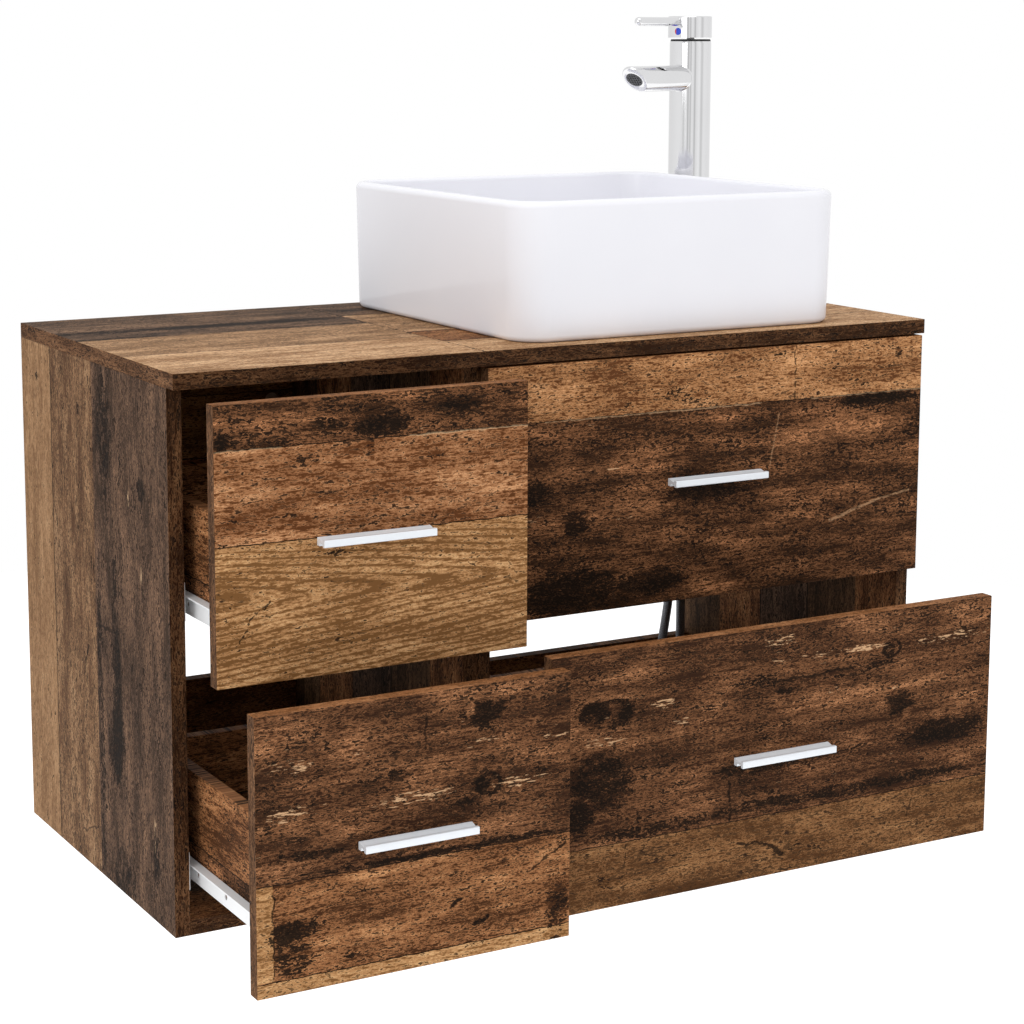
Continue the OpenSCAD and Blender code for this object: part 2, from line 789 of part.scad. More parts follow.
// Cap over the crown: hollow below, solid where the stem and the lever enter it
module tap_cap() {
    roof_z = 13;
    color(chrome) placed() difference() {
        at_tap(cap_bottom) translate([cap_shift, 0, 0])
            cylinder(r = cap_r, h = cabinet_h + tap_h - cap_bottom);
        at_tap(pivot_z) sphere(r = crown_r + 0.3);
        at_tap(cap_bottom - 1) cylinder(r = cap_inner_r, h = pivot_z + roof_z - cap_bottom + 1);
        at_tap(pivot_z) translate([-blade / 2, -blade / 2, 0]) cube([blade, blade, stem_top]);
        at_tap(lever_z) translate([14, 0, 0]) rotate([0, 90, 0]) cylinder(r = lever_r, h = 30);
        dot_frame() translate([0, 0, -1.5]) cylinder(r = 4, h = 20);
    }
}

module tap_lever() {
    color(chrome) placed() at_tap(lever_z) rotate([0, 90, 0]) rotate_extrude()
        polygon(concat([[0, 14]], [[lever_r, 14]],
            [for (a = [0 : 15 : 90]) [lever_r * cos(a), lever_tip - lever_r + lever_r * sin(a)]]));
}

// Frame of the round marker under the lever, on the front of the cap
module dot_frame() {
    at_tap(lever_z - 10.5) translate([cap_shift + cap_r, 0, 0]) rotate([0, 90, 0]) children();
}

module tap_dot() {
    color([0.16, 0.30, 0.75]) placed() dot_frame() translate([0, 0, -1.5]) cylinder(r = 4, h = 1.7);
}

// ---------- Hoses ----------

function unit(v) = v / norm(v);
function tangent(p, i) = unit(p[min(i + 1, len(p) - 1)] - p[max(i - 1, 0)]);

// A closed tube of radius r swept along the points p
module hose_tube(p, r) {
    sides = 10;
    rings = len(p);
    points = [
        for (i = [0 : rings - 1])
            let (t = tangent(p, i), u = unit(cross(t, [0, 1, 0])), v = cross(t, u))
                for (k = [0 : sides - 1])
                    p[i] + r * (cos(360 * k / sides) * u + sin(360 * k / sides) * v)
    ];
    walls = [
        for (i = [0 : rings - 2], k = [0 : sides - 1]) let (n = (k + 1) % sides)
            [i * sides + k, i * sides + n, (i + 1) * sides + n, (i + 1) * sides + k]
    ];
    start_cap = [for (k = [sides - 1 : -1 : 0]) k];
    end_cap = [for (k = [0 : sides - 1]) (rings - 1) * sides + k];
    polyhedron(points = points, faces = concat([start_cap], walls, [end_cap]));
}

module hose_ferrules() {
    color(steel) placed() for (p = [hot_route[0], cold_route[0]])
        translate([p[0], p[1], ferrule_bottom]) cylinder(r = ferrule_r, h = ferrule_top - ferrule_bottom);
}

module hose(route) {
    color([0.36, 0.37, 0.39]) placed() hose_tube(route, hose_r);
}

// Union nut on the end of a hose, its thread open downwards
module hose_nut(end) {
    color(chrome) placed() translate([end[0], end[1], end[2] - nut_h]) difference() {
        union() {
            cylinder(r = nut_r, h = nut_h - 3, $fn = 6);
            cylinder(r = nut_r * 0.82, h = nut_h);
        }
        translate([0, 0, -1]) cylinder(r = nut_thread_r, h = nut_thread_l + 1);
    }
}

module hot_hose() { hose(hot_route); }
module cold_hose() { hose(cold_route); }
module hot_hose_nut() { hose_nut(hot_route[len(hot_route) - 1]); }
module cold_hose_nut() { hose_nut(cold_route[len(cold_route) - 1]); }

narrow_left_side();
narrow_right_side();
narrow_top();
narrow_bottom();
narrow_upper_rail();
narrow_lower_rail();
sink_left_side();
sink_right_side();
sink_top();
sink_bottom();
sink_upper_rail();
sink_lower_rail();
dowels();
cam_locks();
cabinet_connectors();
narrow_runners();
sink_runners();
upper_left_front();
upper_left_sides();
upper_left_back();
upper_left_base();
upper_left_handle();
upper_left_runners();
lower_left_front();
lower_left_sides();
lower_left_back();
lower_left_base();
lower_left_handle();
lower_left_runners();
upper_right_front();
upper_right_sides();
upper_right_back();
upper_right_base();
upper_right_notch();
upper_right_handle();
upper_right_runners();
lower_right_front();
lower_right_sides();
lower_right_back();
lower_right_base();
lower_right_handle();
lower_right_runners();
basin();
drain_body();
drain_plug();
drain_locknut();
tap_body();
tap_gasket();
tap_fixing();
tap_aerator();
tap_cartridge();
tap_stem();
tap_cap();
tap_lever();
tap_dot();
hose_ferrules();
hot_hose();
cold_hose();
hot_hose_nut();
cold_hose_nut();
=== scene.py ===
import math

import bmesh
import bpy
from mathutils import Matrix, Vector


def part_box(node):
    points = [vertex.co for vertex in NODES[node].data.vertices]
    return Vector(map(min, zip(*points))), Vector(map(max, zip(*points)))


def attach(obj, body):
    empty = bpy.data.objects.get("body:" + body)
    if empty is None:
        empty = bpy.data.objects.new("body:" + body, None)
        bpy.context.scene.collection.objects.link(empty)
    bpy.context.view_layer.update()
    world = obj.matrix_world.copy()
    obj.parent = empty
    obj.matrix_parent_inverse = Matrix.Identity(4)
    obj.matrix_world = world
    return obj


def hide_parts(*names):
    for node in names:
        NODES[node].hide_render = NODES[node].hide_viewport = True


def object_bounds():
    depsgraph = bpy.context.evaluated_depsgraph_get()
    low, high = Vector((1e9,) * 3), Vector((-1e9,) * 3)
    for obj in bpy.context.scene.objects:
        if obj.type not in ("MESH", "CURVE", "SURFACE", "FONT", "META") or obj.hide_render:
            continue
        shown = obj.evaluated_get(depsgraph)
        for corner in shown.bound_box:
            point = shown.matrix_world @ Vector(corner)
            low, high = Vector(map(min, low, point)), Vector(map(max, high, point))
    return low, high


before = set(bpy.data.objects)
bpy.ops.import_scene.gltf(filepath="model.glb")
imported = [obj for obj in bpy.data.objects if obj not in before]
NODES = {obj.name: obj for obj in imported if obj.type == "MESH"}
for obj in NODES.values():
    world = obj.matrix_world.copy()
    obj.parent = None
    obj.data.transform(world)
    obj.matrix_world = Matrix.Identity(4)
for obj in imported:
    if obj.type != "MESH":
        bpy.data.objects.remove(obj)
CAD_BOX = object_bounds()

# ---------------------------------------------------------------- camera
LENS = 83.51
YAW = 28.426
PITCH = 8.62
camera_data = bpy.data.cameras.new("camera")
camera_data.sensor_width = 36.0
camera_data.lens = LENS
camera_data.shift_x = 0.057
camera_data.shift_y = -0.12
camera_data.clip_end = 60.0
camera = bpy.data.objects.new("camera", camera_data)
camera.location = (-1.1285, -2.2396, 0.3651)
camera.rotation_euler = (math.radians(90 - PITCH), 0.0, math.radians(-YAW))
bpy.context.scene.collection.objects.link(camera)
bpy.context.scene.camera = camera
bpy.context.scene.view_settings.view_transform = "Standard"


# ---------------------------------------------------------------- mesh helpers
MM = 0.001
ON_AXIS = 0.02 * MM


def add_object(name, mesh, body, node, material):
    """Links a finished mesh, lets it ride on its body in place of a CAD node, and gives it
    its finish."""
    piece = bpy.data.objects.new(name, mesh)
    bpy.context.scene.collection.objects.link(piece)
    mesh.materials.append(material)
    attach(piece, body)
    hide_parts(node)
    return piece


def smooth(mesh, angle=40.0):
    """Smooth shading, with hard edges where faces meet at more than the angle."""
    for polygon in mesh.polygons:
        polygon.use_smooth = True
    mesh.set_sharp_from_angle(angle=math.radians(angle))


def loft(rings, closed=False, caps=True):
    """Vertices and faces of a skin over rings of equally many points."""
    count = len(rings[0])
    vertices = [point for ring in rings for point in ring]
    faces = []
    spans = len(rings) if closed else len(rings) - 1
    for i in range(spans):
        a = i * count
        b = (i + 1) % len(rings) * count
        for k in range(count):
            n = (k + 1) % count
            faces.append((a + k, a + n, b + n, b + k))
    if caps and not closed:
        faces.append(tuple(reversed(range(count))))
        faces.append(tuple((len(rings) - 1) * count + k for k in range(count)))
    return vertices, faces


def mesh_of(name, *shells):
    """One mesh from several (vertices, faces) shells, its normals pointing out."""
    bm = bmesh.new()
    for vertices, faces in shells:
        made = [bm.verts.new(v) for v in vertices]
        for face in faces:
            bm.faces.new([made[i] for i in face])
    bmesh.ops.recalc_face_normals(bm, faces=bm.faces)
    mesh = bpy.data.meshes.new(name)
    bm.to_mesh(mesh)
    bm.free()
    smooth(mesh)
    return mesh


def turns(sides):
    """Angles that share a full turn equally."""
    return [2 * math.pi * k / sides for k in range(sides)]


def circle(place, radius, height, sides=96):
    """A ring of points about local Z of the matrix place, at that height."""
    return [
        place @ Vector((radius * math.cos(a), radius * math.sin(a), height)) for a in turns(sides)
    ]


def lathe(place, profile, sides=96):
    """A closed shell turned about local Z from (radius, height) pairs, from axis to axis."""
    return loft([circle(place, max(r, ON_AXIS), z, sides) for r, z in profile])


def arc(centre_r, centre_z, radius, start, end, steps=6):
    """(radius, height) pairs along an arc, its angles in degrees."""
    return [
        (
            centre_r + radius * math.cos(math.radians(start + (end - start) * i / steps)),
            centre_z + radius * math.sin(math.radians(start + (end - start) * i / steps)),
        )
        for i in range(steps + 1)
    ]


def smooth_path(points, steps=6):
    """A Catmull-Rom curve through the points."""
    p = [Vector(q) for q in points]
    p = [2 * p[0] - p[1]] + p + [2 * p[-1] - p[-2]]
    out = []
    for i in range(1, len(p) - 2):
        for s in range(steps):
            t = s / steps
            out.append(0.5 * (
                2 * p[i]
                + (p[i + 1] - p[i - 1]) * t
                + (2 * p[i - 1] - 5 * p[i] + 4 * p[i + 1] - p[i + 2]) * t * t
                + (3 * p[i] - p[i - 1] - 3 * p[i + 1] + p[i + 2]) * t ** 3
            ))
    out.append(p[-2])
    return out


# ---------------------------------------------------------------- material helpers
def srgb(r, g, b):
    """A colour given as it looks on a screen, 0 to 255, made linear."""
    def linear(c):
        c = c / 255
        return c / 12.92 if c <= 0.04045 else ((c + 0.055) / 1.055) ** 2.4
    return (linear(r), linear(g), linear(b), 1.0)


class Nodes:
    """Builds a node tree: most methods add one node and return its output."""

    def __init__(self, tree):
        tree.nodes.clear()
        self.nodes = tree.nodes
        self.links = tree.links

    def put(self, socket, value):
        if isinstance(value, bpy.types.NodeSocket):
            self.links.new(value, socket)
        else:
            socket.default_value = value

    def node(self, kind, *values, **settings):
        made = self.nodes.new("ShaderNode" + kind)
        for name, value in settings.items():
            setattr(made, name, value)
        for socket, value in zip(made.inputs, values):
            if value is not None:
                self.put(socket, value)
        return made

    def math(self, operation, a, b=0.0, c=0.0, clamp=False):
        return self.node("Math", a, b, c, operation=operation, use_clamp=clamp).outputs[0]

    def vector(self, operation, a, b=(0, 0, 0)):
        made = self.node("VectorMath", a, b, operation=operation)
        return made.outputs["Value" if operation in ("LENGTH", "DOT_PRODUCT") else "Vector"]

    def scaled(self, a, factor):
        made = self.node("VectorMath", a, operation="SCALE")
        self.put(made.inputs["Scale"], factor)
        return made.outputs["Vector"]

    def combine(self, x, y, z=0.0):
        return self.node("CombineXYZ", x, y, z).outputs[0]

    def noise(self, vector, detail=2.0, roughness=0.5, colour=False):
        made = self.node("TexNoise")
        self.put(made.inputs["Vector"], vector)
        made.inputs["Scale"].default_value = 1.0
        made.inputs["Detail"].default_value = detail
        made.inputs["Roughness"].default_value = roughness
        return made.outputs[1 if colour else 0]

    def step(self, value, low, high):
        """0 below low, 1 above high, and smooth between them."""
        made = self.node("MapRange", interpolation_type="SMOOTHSTEP")
        self.put(made.inputs["Value"], value)
        self.put(made.inputs["From Min"], low)
        self.put(made.inputs["From Max"], high)
        return made.outputs[0]

    def ramp(self, value, stops, mode="LINEAR"):
        made = self.node("ValToRGB", value)
        ramp = made.color_ramp
        ramp.interpolation = mode
        while len(ramp.elements) < len(stops):
            ramp.elements.new(1.0)
        while len(ramp.elements) > len(stops):
            ramp.elements.remove(ramp.elements[-1])
        for element, (place, colour) in zip(ramp.elements, stops):
            element.position = place
            element.color = colour
        return made.outputs[0]

    def mix(self, factor, a, b):
        made = self.node("Mix", data_type="RGBA")
        self.put(made.inputs[0], factor)
        self.put(made.inputs[6], a)
        self.put(made.inputs[7], b)
        return made.outputs[2]


class Tree(Nodes):
    """Builds a material round one Principled shader."""

    def __init__(self, name):
        self.material = bpy.data.materials.new(name)
        self.material.use_nodes = True
        super().__init__(self.material.node_tree)
        self.shader = self.node("BsdfPrincipled")
        self.node("OutputMaterial", self.shader.outputs[0])

    def set(self, **values):
        """Sets sockets of the Principled shader; an underscore stands for a space."""
        for name, value in values.items():
            self.put(self.shader.inputs[name.replace("_", " ")], value)

    def bump(self, height, distance, strength):
        made = self.node("Bump")
        made.inputs["Strength"].default_value = strength
        made.inputs["Distance"].default_value = distance
        self.put(made.inputs["Height"], height)
        self.set(Normal=made.outputs[0])

    def place(self):
        """Position on the piece in millimetres of the row frame."""
        return self.scaled(self.node("TexCoord").outputs["Object"], 1000.0)


# ---------------------------------------------------------------- old wood print
INK = srgb(20, 15, 11)
SOOT = srgb(56, 38, 26)
CREAM = srgb(206, 176, 138)


def kind(dark, mid, light, black=0.0, fleck=0.0, speck=0.0):
    """One sort of plank: three tones, and how much black, pale and speckled marking it has."""
    covered = 1.25 * black - 0.6 * black * black
    return {"tones": [srgb(*dark), srgb(*mid), srgb(*light)], "marks": (covered, fleck, speck, 1.0)}


KINDS = {
    "charred": kind((48, 30, 18), (116, 77, 50), (194, 134, 91), 0.47, 0.12, 0.55),
    "worn": kind((50, 31, 20), (114, 76, 50), (188, 132, 91), 0.37, 0.30, 0.52),
    "orange": kind((88, 52, 28), (150, 102, 67), (200, 148, 105), 0.13, 0.16, 0.30),
    "rusty": kind((92, 56, 32), (166, 117, 76), (214, 160, 112), 0.13, 0.20, 0.34),
    "yellow": kind((116, 80, 46), (171, 126, 83), (206, 162, 114), 0.05, 0.20, 0.20),
    "brown": kind((66, 40, 23), (146, 98, 63), (198, 144, 98), 0.20, 0.14, 0.42),
    "speckled": kind((78, 50, 28), (134, 94, 60), (172, 128, 86), 0.14, 0.12, 0.60),
    "tan": kind((112, 82, 56), (142, 108, 77), (164, 130, 96), 0.03, 0.12, 0.10),
    # The copies of tan, speckled and grey used on the counter tops are painted lighter and paler:
    # painted light, for the light falling on the tops from above.
    "tan_painted_top_light": kind((128, 92, 60), (182, 143, 106), (218, 180, 140), 0.03, 0.12, 0.12),
    # The copy of speckled used on the outer sides is painted paler and greyer: a painted sheen, as
    # the sides are seen at a grazing angle.
    "speckled_painted_side_sheen": kind((82, 56, 38), (138, 105, 76), (168, 134, 100), 0.12, 0.10, 0.56),
    "speckled_painted_top_light": kind((110, 79, 52), (176, 138, 102), (208, 168, 128), 0.08, 0.10, 0.50),
    "grey": kind((54, 40, 30), (100, 76, 60), (140, 108, 84), 0.34, 0.24, 0.44),
    "grey_painted_top_light": kind((64, 50, 40), (112, 86, 66), (150, 118, 92), 0.34, 0.20, 0.44),
    "shade": kind((46, 33, 22), (92, 67, 47), (130, 98, 71), 0.26, 0.10, 0.40),
    "band_dark": kind((44, 26, 14), (92, 62, 40), (128, 92, 62), 0.34, 0.10, 0.50),
    "band_light": kind((108, 68, 38), (150, 102, 66), (178, 128, 88), 0.10, 0.10, 0.40),
    "band_mid": kind((58, 37, 22), (106, 74, 50), (144, 106, 76), 0.22, 0.10, 0.45),
    "rail": kind((84, 60, 36), (138, 104, 66), (176, 140, 98), 0.12, 0.10, 0.40),
    "beech": kind((186, 150, 104), (206, 172, 126), (220, 190, 148), 0.0, 0.1, 0.2),
    "seam": kind((24, 17, 12), (34, 24, 17), (46, 33, 24), 0.2, 0.0, 0.0),
}


def stops(planks, across, pick):
    """Ramp stops across a face: each plank's value, with a thin dark seam between planks."""
    out = []
    start = 0.0
    for end, name in planks:
        out.append((start / across, pick(KINDS[name])))
        if end < across:
            out.append(((end - 0.5) / across, pick(KINDS["seam"])))
        start = end + 0.4
    return out


# Noise over the planks: scale along and across the grain, offset, detail and roughness
LAYERS = {
    "tone": (0.010, 0.050, 1.0, 3.0, 0.55),
    "fibre": (0.032, 0.42, 1.0, 4.0, 0.66),
    "dash": (0.15, 0.52, 1.3, 3.0, 0.60),
    "crumb": (0.085, 0.21, 1.7, 4.0, 0.74),
    "grit": (0.27, 0.50, 2.0, 2.0, 0.60),
    "patch": (0.016, 0.042, 2.1, 3.0, 0.62),
    "peel": (0.060, 0.50, 2.7, 4.0, 0.66),
}
# How far each layer sways the wood's tone, its fine dashes and its charring
TONE_SWAY = {"fibre": 2.3, "dash": 2.6, "tone": 1.5, "crumb": 0.9, "grit": 1.5}
DASH_SWAY = {"fibre": 0.9, "dash": 1.7, "grit": 1.1, "patch": 0.5}
CHAR_SWAY = {"crumb": 1.9, "dash": 1.7, "fibre": 1.1, "grit": 1.9}
# What a round mark adds: charring, lighter wood, or wood that is torn bare
ROUND_MARKS = {
    "blot": {"char": 0.52}, "wash": {"char": -0.50, "lift": 0.28},
    "knot": {"char": 0.60}, "pale": {"bare": 0.18},
}
SEED_STEP = 0.37


def swayed(t, layers, amounts):
    """A half, plus what each layer swings about its own middle times its amount."""
    total = 0.5
    for name, amount in amounts.items():
        total = t.math("MULTIPLY_ADD", t.math("SUBTRACT", layers[name], 0.5), amount, total)
    return total


def rectangle(t, edge, u0, u1, v0, v1):
    """1 inside the rectangle and 0 outside it."""
    soft = 0.3
    inside = t.math("MULTIPLY", t.step(edge.outputs[0], u0 - soft, u0 + soft),
                    t.step(edge.outputs[0], u1 + soft, u1 - soft))
    inside = t.math("MULTIPLY", inside, t.step(edge.outputs[1], v0 - soft, v0 + soft))
    return t.math("MULTIPLY", inside, t.step(edge.outputs[1], v1 + soft, v1 - soft))


def line_mark(t, line, depth, dash, u0, v0, u1, v1, thick, strength):
    """A ragged line from one point of the face to another."""
    run = Vector((u1 - u0, v1 - v0, 0.0))
    from_start = t.vector("SUBTRACT", line, (u0, v0, depth))
    where = t.math("DIVIDE", t.vector("DOT_PRODUCT", from_start, tuple(run)),
                   run.length_squared, clamp=True)
    far = t.vector("LENGTH", t.vector("SUBTRACT", from_start, t.scaled(tuple(run), where)))
    mask = t.step(t.math("MULTIPLY_ADD", dash, -2.4 * thick, far), 0.0, -0.5 * thick)
    return t.math("MULTIPLY", mask, strength)


def place_marks(t, marks, depth, ragged, loose, layers):
    """What the single marks of a face add up to: charring, lighter and bare wood, and the
    dark cracks and pale lips."""
    total = {
        "char": t.math("MULTIPLY_ADD", layers["patch"], 0.80, -0.40),
        "lift": 0.0, "bare": 0.0, "crack": 0.0, "lip": 0.0,
    }
    for shape, found in marks.items():
        for mark in found:
            if shape not in ROUND_MARKS:
                line = ragged if shape == "lip" else loose
                mask = line_mark(t, line, depth, layers["dash"], *mark)
                if shape == "lip":
                    mask = t.math("MULTIPLY", mask, t.step(layers["crumb"], 0.36, 0.47))
                total[shape] = t.math("MAXIMUM", total[shape], mask)
                continue
            u, v, half_u, half_v, strength = mark
            apart = t.vector("SUBTRACT", loose, (u, v, depth))
            far = t.vector("LENGTH", t.vector("MULTIPLY", apart, (1 / half_u, 1 / half_v, 0.0)))
            if shape == "knot":
                ring = t.math("ABSOLUTE", t.math("SUBTRACT", far, 1.0))
                mask = t.step(ring, 0.40, 0.0)
            else:
                mask = t.step(far, 1.45, 0.45)
            for effect, amount in ROUND_MARKS[shape].items():
                total[effect] = t.math("MULTIPLY_ADD", mask, amount * strength, total[effect])
    return total


def arch_lines(t, u, v, tone, centre_u, centre_v, slope, period, from_v):
    """Grain lines bent into arches about a point, from one place across the face onwards."""
    away_u = t.math("SUBTRACT", u, float(centre_u))
    away_v = t.math("SUBTRACT", v, float(centre_v))
    bow = t.math("SQRT", t.math("MULTIPLY_ADD", away_v, away_v, 60.0))
    bow = t.math("MULTIPLY_ADD", away_u, slope, bow)
    bow = t.math("MULTIPLY_ADD", tone, 9.0, bow)
    wave = t.math("SINE", t.math("MULTIPLY", bow, 2 * math.pi / period))
    return t.math("MULTIPLY", t.step(wave, 0.1, 0.95), t.step(v, from_v, from_v + 3.0))


def scratches(t, layered, layers):
    """Thin slanting scratches, where a slow noise passes its middle value."""
    slanted = t.node("VectorRotate", layered, rotation_type="Z_AXIS")
    slanted.inputs["Angle"].default_value = 0.75
    trail = t.noise(t.vector("MULTIPLY", slanted.outputs[0], (0.018, 0.060, 3.3)), 2.0, 0.5)
    trail = t.math("ABSOLUTE", t.math("SUBTRACT", trail, 0.5))
    return t.math("MULTIPLY", t.step(trail, 0.010, 0.003), t.step(layers["crumb"], 0.56, 0.62))


def old_wood(name, along, across, planks, width, seed=0, patches=(), marks=None, arches=None):
    """Printed old planks. along and across are (axis, start, sign) in millimetres of the row
    frame: how far a point lies along the grain, and from the first plank's edge. planks are
    (end, kind) across the face, patches (from, to, from, to, kind) in along and across. marks
    are the single marks of that face by shape: blots, washes, knots and pale places as
    (along, across, half length, half width, strength), and cracks and lips as
    (along, across, along, across, thickness, strength)."""
    t = Tree(name)
    split = t.node("SeparateXYZ", t.place())

    def run(letter, start, sign):
        socket = split.outputs["xyz".index(letter)]
        return t.math("MULTIPLY_ADD", socket, float(sign), float(-start * sign))

    u = run(*along)
    v = run(*across)
    depth = SEED_STEP * seed
    flat = t.combine(u, v, depth)
    sway = t.noise(t.vector("MULTIPLY", flat, (0.09, 0.11, 1.0)), 3.0, 0.6, colour=True)
    sway = t.vector("SUBTRACT", sway, (0.5, 0.5, 0.5))
    ragged = t.vector("ADD", flat, t.scaled(sway, 3.2))
    loose = t.vector("ADD", flat, t.scaled(sway, 9.0))
    edge = t.node("SeparateXYZ", ragged)
    share = t.math("DIVIDE", edge.outputs[1], float(width))

    # Each plank's three tones, its amounts of marking and its own piece of the noise
    tones = [
        t.ramp(share, stops(planks, width, lambda k, i=i: k["tones"][i]), "CONSTANT")
        for i in range(3)
    ]
    amounts = t.ramp(share, stops(planks, width, lambda k: k["marks"]), "CONSTANT")
    shift = [
        (max(0.0, (end0 + 0.2) / width), (0.13 * i % 1.0,) * 3 + (1.0,))
        for i, end0 in enumerate([-0.2] + [end for end, _ in planks[:-1]])
    ]
    shift = t.ramp(share, shift, "CONSTANT")
    for *sides, kind_name in patches:
        inside = rectangle(t, edge, *sides)
        chosen = KINDS[kind_name]
        tones = [t.mix(inside, a, b) for a, b in zip(tones, chosen["tones"])]
        amounts = t.mix(inside, amounts, chosen["marks"])
    dark, mid, light = tones
    charred, torn, dashed = t.node("SeparateColor", amounts).outputs

    layered = t.vector("ADD", flat, t.combine(0.0, 0.0, t.math("MULTIPLY", shift, 60.0)))
    layers = {
        layer: t.noise(t.vector("MULTIPLY", layered, (scale_u, scale_v, lift)), detail, rough)
        for layer, (scale_u, scale_v, lift, detail, rough) in LAYERS.items()
    }
    total = place_marks(t, marks or {}, depth, ragged, loose, layers)

    # The wood itself, from dark to light grain
    level = swayed(t, layers, TONE_SWAY)
    if arches:
        wave = arch_lines(t, u, v, layers["tone"], *arches)
        level = t.math("MULTIPLY_ADD", wave, -0.48, level)
    level = t.math("ADD", level, total["lift"])
    colour = t.mix(t.step(level, 0.08, 0.52), dark, mid)
    colour = t.mix(t.step(level, 0.52, 0.98), colour, light)

    # Fine dark dashes
    limit = t.math("MULTIPLY_ADD", dashed, -0.42, 0.77)
    speck = t.step(swayed(t, layers, DASH_SWAY), limit, t.math("ADD", limit, 0.06))
    colour = t.mix(t.math("MULTIPLY", speck, 0.85), colour, t.mix(0.55, dark, INK))

    # Charred ink, cracks and scratches
    limit = t.math("MULTIPLY_ADD", charred, -1.0, 1.05)
    char = t.math("ADD", swayed(t, layers, CHAR_SWAY), total["char"])
    black = t.step(char, limit, t.math("ADD", limit, 0.09))
    trail = t.math("MULTIPLY", scratches(t, layered, layers), t.step(charred, 0.10, 0.16))
    lines = t.math("MAXIMUM", total["crack"], t.math("MULTIPLY", trail, 0.8))
    black = t.math("MAXIMUM", black, lines)

    # Torn pale wood and bright lips, which take the ink away
    peel = t.math("MULTIPLY_ADD", t.math("SUBTRACT", layers["dash"], 0.5), 0.5, layers["peel"])
    peel = t.math("ADD", peel, total["bare"])
    limit = t.math("MULTIPLY_ADD", torn, -0.20, 0.76)
    flake = t.math("MAXIMUM", t.step(peel, limit, t.math("ADD", limit, 0.05)), total["lip"])
    shown = t.math("MULTIPLY_ADD", total["bare"], 2.0, 0.62, clamp=True)
    flake = t.math("MULTIPLY", flake, shown)
    black = t.math("MULTIPLY", black, t.math("SUBTRACT", 1.0, flake))
    colour = t.mix(flake, colour, t.mix(0.45, CREAM, light))
    sooty = t.math("ADD", layers["grit"], t.math("MULTIPLY", layers["dash"], 0.5))
    soot = t.mix(t.step(sooty, 0.80, 0.92), INK, SOOT)
    t.set(Base_Color=t.mix(t.math("MULTIPLY", black, 0.96), colour, soot))

    height = t.math("MULTIPLY_ADD", layers["dash"], 0.6, layers["fibre"])
    height = t.math("MULTIPLY_ADD", black, -0.5, height)
    t.set(Roughness=t.math("MULTIPLY_ADD", layers["dash"], 0.24, 0.50))
    t.shader.inputs["Specular IOR Level"].default_value = 0.03
    t.bump(height, 0.00016, 0.6)
    return t.material


# ---------------------------------------------------------------- plain materials
def metal(name, colour, roughness, smear=0.05, streak=(0.02, 0.02, 0.02), grain=0.0):
    """Bare or plated metal, with faint wiping marks in its gloss."""
    t = Tree(name)
    place = t.place()
    wiped = t.noise(t.vector("MULTIPLY", place, streak), 4.0, 0.6)
    fine = t.noise(t.scaled(place, 1.4), 3.0, 0.6)
    dim = tuple(c * 0.93 for c in colour[:3]) + (1.0,)
    t.set(Base_Color=t.mix(wiped, dim, colour))
    t.shader.inputs["Metallic"].default_value = 1.0
    rough = t.math("MULTIPLY_ADD", wiped, smear, roughness - smear / 2)
    t.set(Roughness=t.math("MULTIPLY_ADD", fine, smear * 0.4, rough))
    t.bump(t.math("ADD", fine, wiped), 0.00002 + grain, 0.35)
    return t.material


def plastic(name, colour, roughness, spread=0.08, grain=0.00006, scale=1.2):
    """Moulded plastic, paint or rubber, with slight unevenness in tone and surface."""
    t = Tree(name)
    place = t.place()
    broad = t.noise(t.scaled(place, 0.03), 3.0, 0.55)
    fine = t.noise(t.scaled(place, scale), 3.0, 0.6)
    low = tuple(c * (1 - spread) for c in colour[:3]) + (1.0,)
    high = tuple(min(1.0, c * (1 + spread)) for c in colour[:3]) + (1.0,)
    t.set(Base_Color=t.mix(t.math("MULTIPLY_ADD", fine, 0.3, t.math("MULTIPLY", broad, 0.8)),
                           low, high))
    t.set(Roughness=t.math("MULTIPLY_ADD", fine, 0.18, roughness - 0.09))
    t.bump(fine, grain, 0.6)
    return t.material


def glazed():
    """White sanitary glaze: a deep gloss with the faint waviness of fired clay."""
    t = Tree("white_glaze")
    place = t.place()
    broad = t.noise(t.scaled(place, 0.012), 2.0, 0.5)
    fine = t.noise(t.scaled(place, 0.09), 3.0, 0.5)
    t.set(Base_Color=t.mix(broad, srgb(231, 231, 237), srgb(236, 236, 241)))
    t.set(Roughness=t.math("MULTIPLY_ADD", fine, 0.05, 0.07))
    t.shader.inputs["Specular IOR Level"].default_value = 0.18
    t.bump(t.math("MULTIPLY_ADD", broad, 2.0, t.math("MULTIPLY", fine, 0.3)), 0.0006, 0.35)
    return t.material


def satin():
    """Matt anodised handle bar: pale, with fine lines drawn along its length."""
    t = Tree("satin_handle")
    place = t.place()
    drawn = t.noise(t.vector("MULTIPLY", place, (0.03, 3.0, 3.0)), 3.0, 0.6)
    worn = t.noise(t.scaled(place, 0.05), 3.0, 0.5)
    t.set(Base_Color=t.mix(t.math("MULTIPLY_ADD", worn, 0.5, t.math("MULTIPLY", drawn, 0.5)),
                           srgb(222, 227, 233), srgb(240, 243, 247)))
    t.shader.inputs["Metallic"].default_value = 0.2
    t.set(Roughness=t.math("MULTIPLY_ADD", drawn, 0.16, 0.26))
    t.bump(drawn, 0.00004, 0.5)
    return t.material


